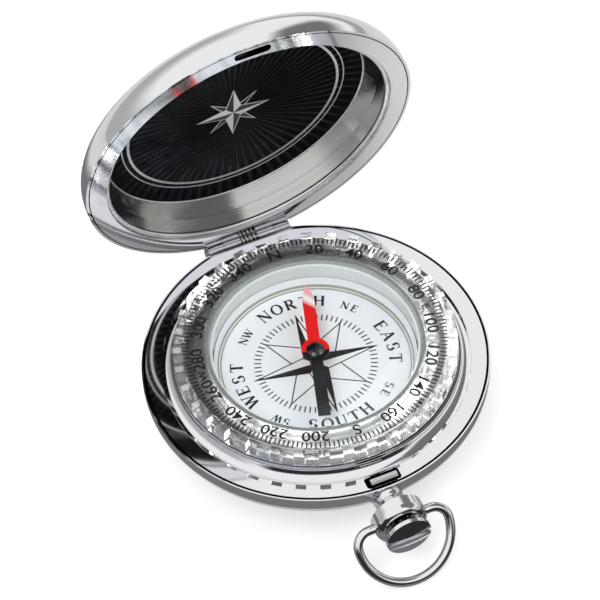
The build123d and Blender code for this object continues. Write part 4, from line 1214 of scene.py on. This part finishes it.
# Name of each card, the angles that it runs between, its profile, the fades of its profile and its grey
CARDS = (
    ("front_card", (-62.0, 40.0), ((50.0, 0.3), (150.0, 0.3), (150.0, 80.0)), (0.0, 0.2), 0.03),
    ("table_card", (-210.0, 95.0), ((34.0, 0.2), (150.0, 0.2)), (0.0, 0.4), 0.2),
    ("side_card", (-200.0, -62.0), ((450.0, 0.3), (450.0, 380.0)), (0.0, 0.7), 0.48),
    ("top_card", (36.0, 143.0), ((20.0, 330.0), (290.0, 330.0), (400.0, 100.0)), (0.2, 0.2), 0.2),
    ("horizon_card", (-85.0, 190.0), ((500.0, 0.3), (500.0, 110.0)), (0.0, 0.6), 0.42),
)
CARD_STEPS = 97                    # points along a card's arc, and along its profile
CARD_FADE = 0.12                   # share of a card's arc that fades out at each end
CLIP_NEAR, CLIP_FAR = 0.01, 10.0   # nearest and farthest that the camera sees, in metres


def faded(along, near, far):
    """1 along a card, falling smoothly to 0 over the given shares at its near and far end."""
    ramp = np.minimum(along / near if near else 1.0, (1.0 - along) / far).clip(0.0, 1.0)
    return ramp * ramp * (3.0 - 2.0 * ramp)


def add_card(name, sides, profile, fade, level):
    """A grey card that only mirror-like surfaces show: a profile carried round the compass.

    The profile is in millimetres from the axis and above the floor, and it is carried between two angles
    to the right of the pendant, in degrees. The card fades out towards the ends of its arc, and over the
    given shares at the near and the far end of its profile.
    """
    along = np.linspace(0.0, 1.0, CARD_STEPS)
    side = np.radians(sides[0] + (sides[1] - sides[0]) * along)[:, None]
    corners = np.array(profile) * MM
    run = np.concatenate([[0.0], np.cumsum(np.linalg.norm(np.diff(corners, axis=0), axis=1))])
    distance, height = (np.interp(along * run[-1], run, corners[:, part]) for part in (0, 1))
    points = np.stack(np.broadcast_arrays(np.sin(side) * distance, -np.cos(side) * distance,
                                          cad_box[0].z + height), -1)
    cover = faded(along, CARD_FADE, CARD_FADE)[:, None] * faded(along, *fade)
    finish = Finish(name, Base_Color=(0.0, 0.0, 0.0), Specular_IOR_Level=0.0,
                    Emission_Color=(level, level, level), Emission_Strength=1.0)
    finish.set(Alpha=finish.add("Attribute", {"attribute_name": "cover"}).outputs["Fac"])
    mesh = mesh_of(name, points.reshape(-1, 3), grid_faces(CARD_STEPS, CARD_STEPS), finish)
    values = mesh.attributes.new("cover", "FLOAT", "POINT").data
    values.foreach_set("value", cover.ravel().astype(np.float32))
    card = placed(name, mesh)
    card.visible_camera = card.visible_diffuse = card.visible_transmission = card.visible_shadow = False


def light_surround(scene, stage):
    """White world where it is seen or mirrored, and a softer one where it only lights."""
    scene.world = scene.world or bpy.data.worlds.new("World")
    scene.world.use_nodes = True
    nodes = Nodes(scene.world.node_tree)
    path = nodes.add("LightPath").outputs
    seen = nodes.math("MAXIMUM", path["Is Camera Ray"], path["Is Glossy Ray"])
    seen = nodes.math("MAXIMUM", seen, path["Is Transmission Ray"])
    strength = nodes.math("MULTIPLY_ADD", seen, 1.0 - stage.ambient, stage.ambient)
    nodes.fill_all(nodes.tree.nodes["Background"], {"Color": (1.0, 1.0, 1.0), "Strength": strength})


def lay_floor(stage):
    """A plain pale floor that is seen as white and keeps a soft shadow."""
    white = stage.floor_white
    finish = Finish("Floor white", Base_Color=(white, white, white), Roughness=1.0, Specular_IOR_Level=0.0,
                    Emission_Color=(1.0, 1.0, 1.0))
    path = finish.add("LightPath").outputs
    glow = finish.math("MULTIPLY", path["Is Glossy Ray"], stage.floor_gloss)
    seen = finish.math("MAXIMUM", path["Is Camera Ray"], path["Is Transmission Ray"])
    finish.set(Emission_Strength=finish.math("MULTIPLY_ADD", seen, white, glow))
    height = cad_box[0].z - stage.floor_gap
    corners = np.array([(-1, -1, 0), (1, -1, 0), (1, 1, 0), (-1, 1, 0)]) * stage.floor_size + [0, 0, height]
    placed("floor", mesh_of("floor", corners, [(0, 1, 2, 3)], finish))


def add_lamp(name, place, size, power, target):
    """A square soft lamp that faces a point."""
    data = bpy.data.lights.new(name, "AREA")
    data.size = size
    data.energy = power
    lamp = placed(name, data)
    lamp.location = place
    lamp.rotation_euler = (target - Vector(place)).to_track_quat("-Z", "Y").to_euler()
    lamp.visible_glossy = False


def add_camera(scene, stage):
    """Camera on a sphere round its target, turned about its line of sight by the roll."""
    azimuth, elevation = stage.camera_azimuth, stage.camera_elevation
    back = Vector((sin(azimuth) * cos(elevation), -cos(azimuth) * cos(elevation), sin(elevation)))
    level = Vector((0.0, 0.0, 1.0)).cross(back).normalized()
    right = level * cos(stage.camera_roll) + back.cross(level) * sin(stage.camera_roll)
    turned_frame = Matrix((right, back.cross(right), back)).transposed()
    data = bpy.data.cameras.new("camera")
    data.lens = stage.camera_lens
    data.clip_start, data.clip_end = CLIP_NEAR, CLIP_FAR
    camera = placed("camera", data)
    camera.matrix_world = Matrix.Translation(
        Vector(stage.camera_target) + back * stage.camera_distance) @ turned_frame.to_4x4()
    scene.camera = camera


class COMPASS_PT_panel(bpy.types.Panel):
    """Sidebar panel that lists the steps and their values."""

    bl_idname = "COMPASS_PT_panel"
    bl_label = "Pocket compass"
    bl_space_type = "VIEW_3D"
    bl_region_type = "UI"
    bl_category = "Compass"

    def draw(self, context):
        for step in STEPS:
            self.layout.operator(step.bl_idname)
        for group, holder in GROUPS.items():
            box = self.layout.box()
            values = getattr(context.scene, group)
            for name in holder.__annotations__:
                box.prop(values, name)


STEPS = (COMPASS_OT_case, COMPASS_OT_pendant, COMPASS_OT_hinge, COMPASS_OT_latch, COMPASS_OT_capsule,
         COMPASS_OT_dial, COMPASS_OT_ring, COMPASS_OT_needle, COMPASS_OT_lid, COMPASS_OT_liner,
         COMPASS_OT_star, COMPASS_OT_stage)
GROUPS = {"compass_finish": CompassFinish, "compass_print": CompassPrint, "compass_lid": CompassLid,
          "compass_stage": CompassStage}


def register():
    """Register the values, the steps and the panel."""
    for holder in (*GROUPS.values(), *STEPS, COMPASS_PT_panel):
        bpy.utils.register_class(holder)
    for name, holder in GROUPS.items():
        setattr(bpy.types.Scene, name, PointerProperty(type=holder))


def unregister():
    """Undo what register does, in reverse."""
    for name in GROUPS:
        delattr(bpy.types.Scene, name)
    for holder in (COMPASS_PT_panel, *reversed(STEPS), *reversed(GROUPS.values())):
        bpy.utils.unregister_class(holder)


def main():
    """Register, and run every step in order."""
    register()
    for step in STEPS:
        family, action = step.bl_idname.split(".")
        getattr(getattr(bpy.ops, family), action)()
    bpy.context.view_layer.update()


if __name__ == "__main__":
    main()
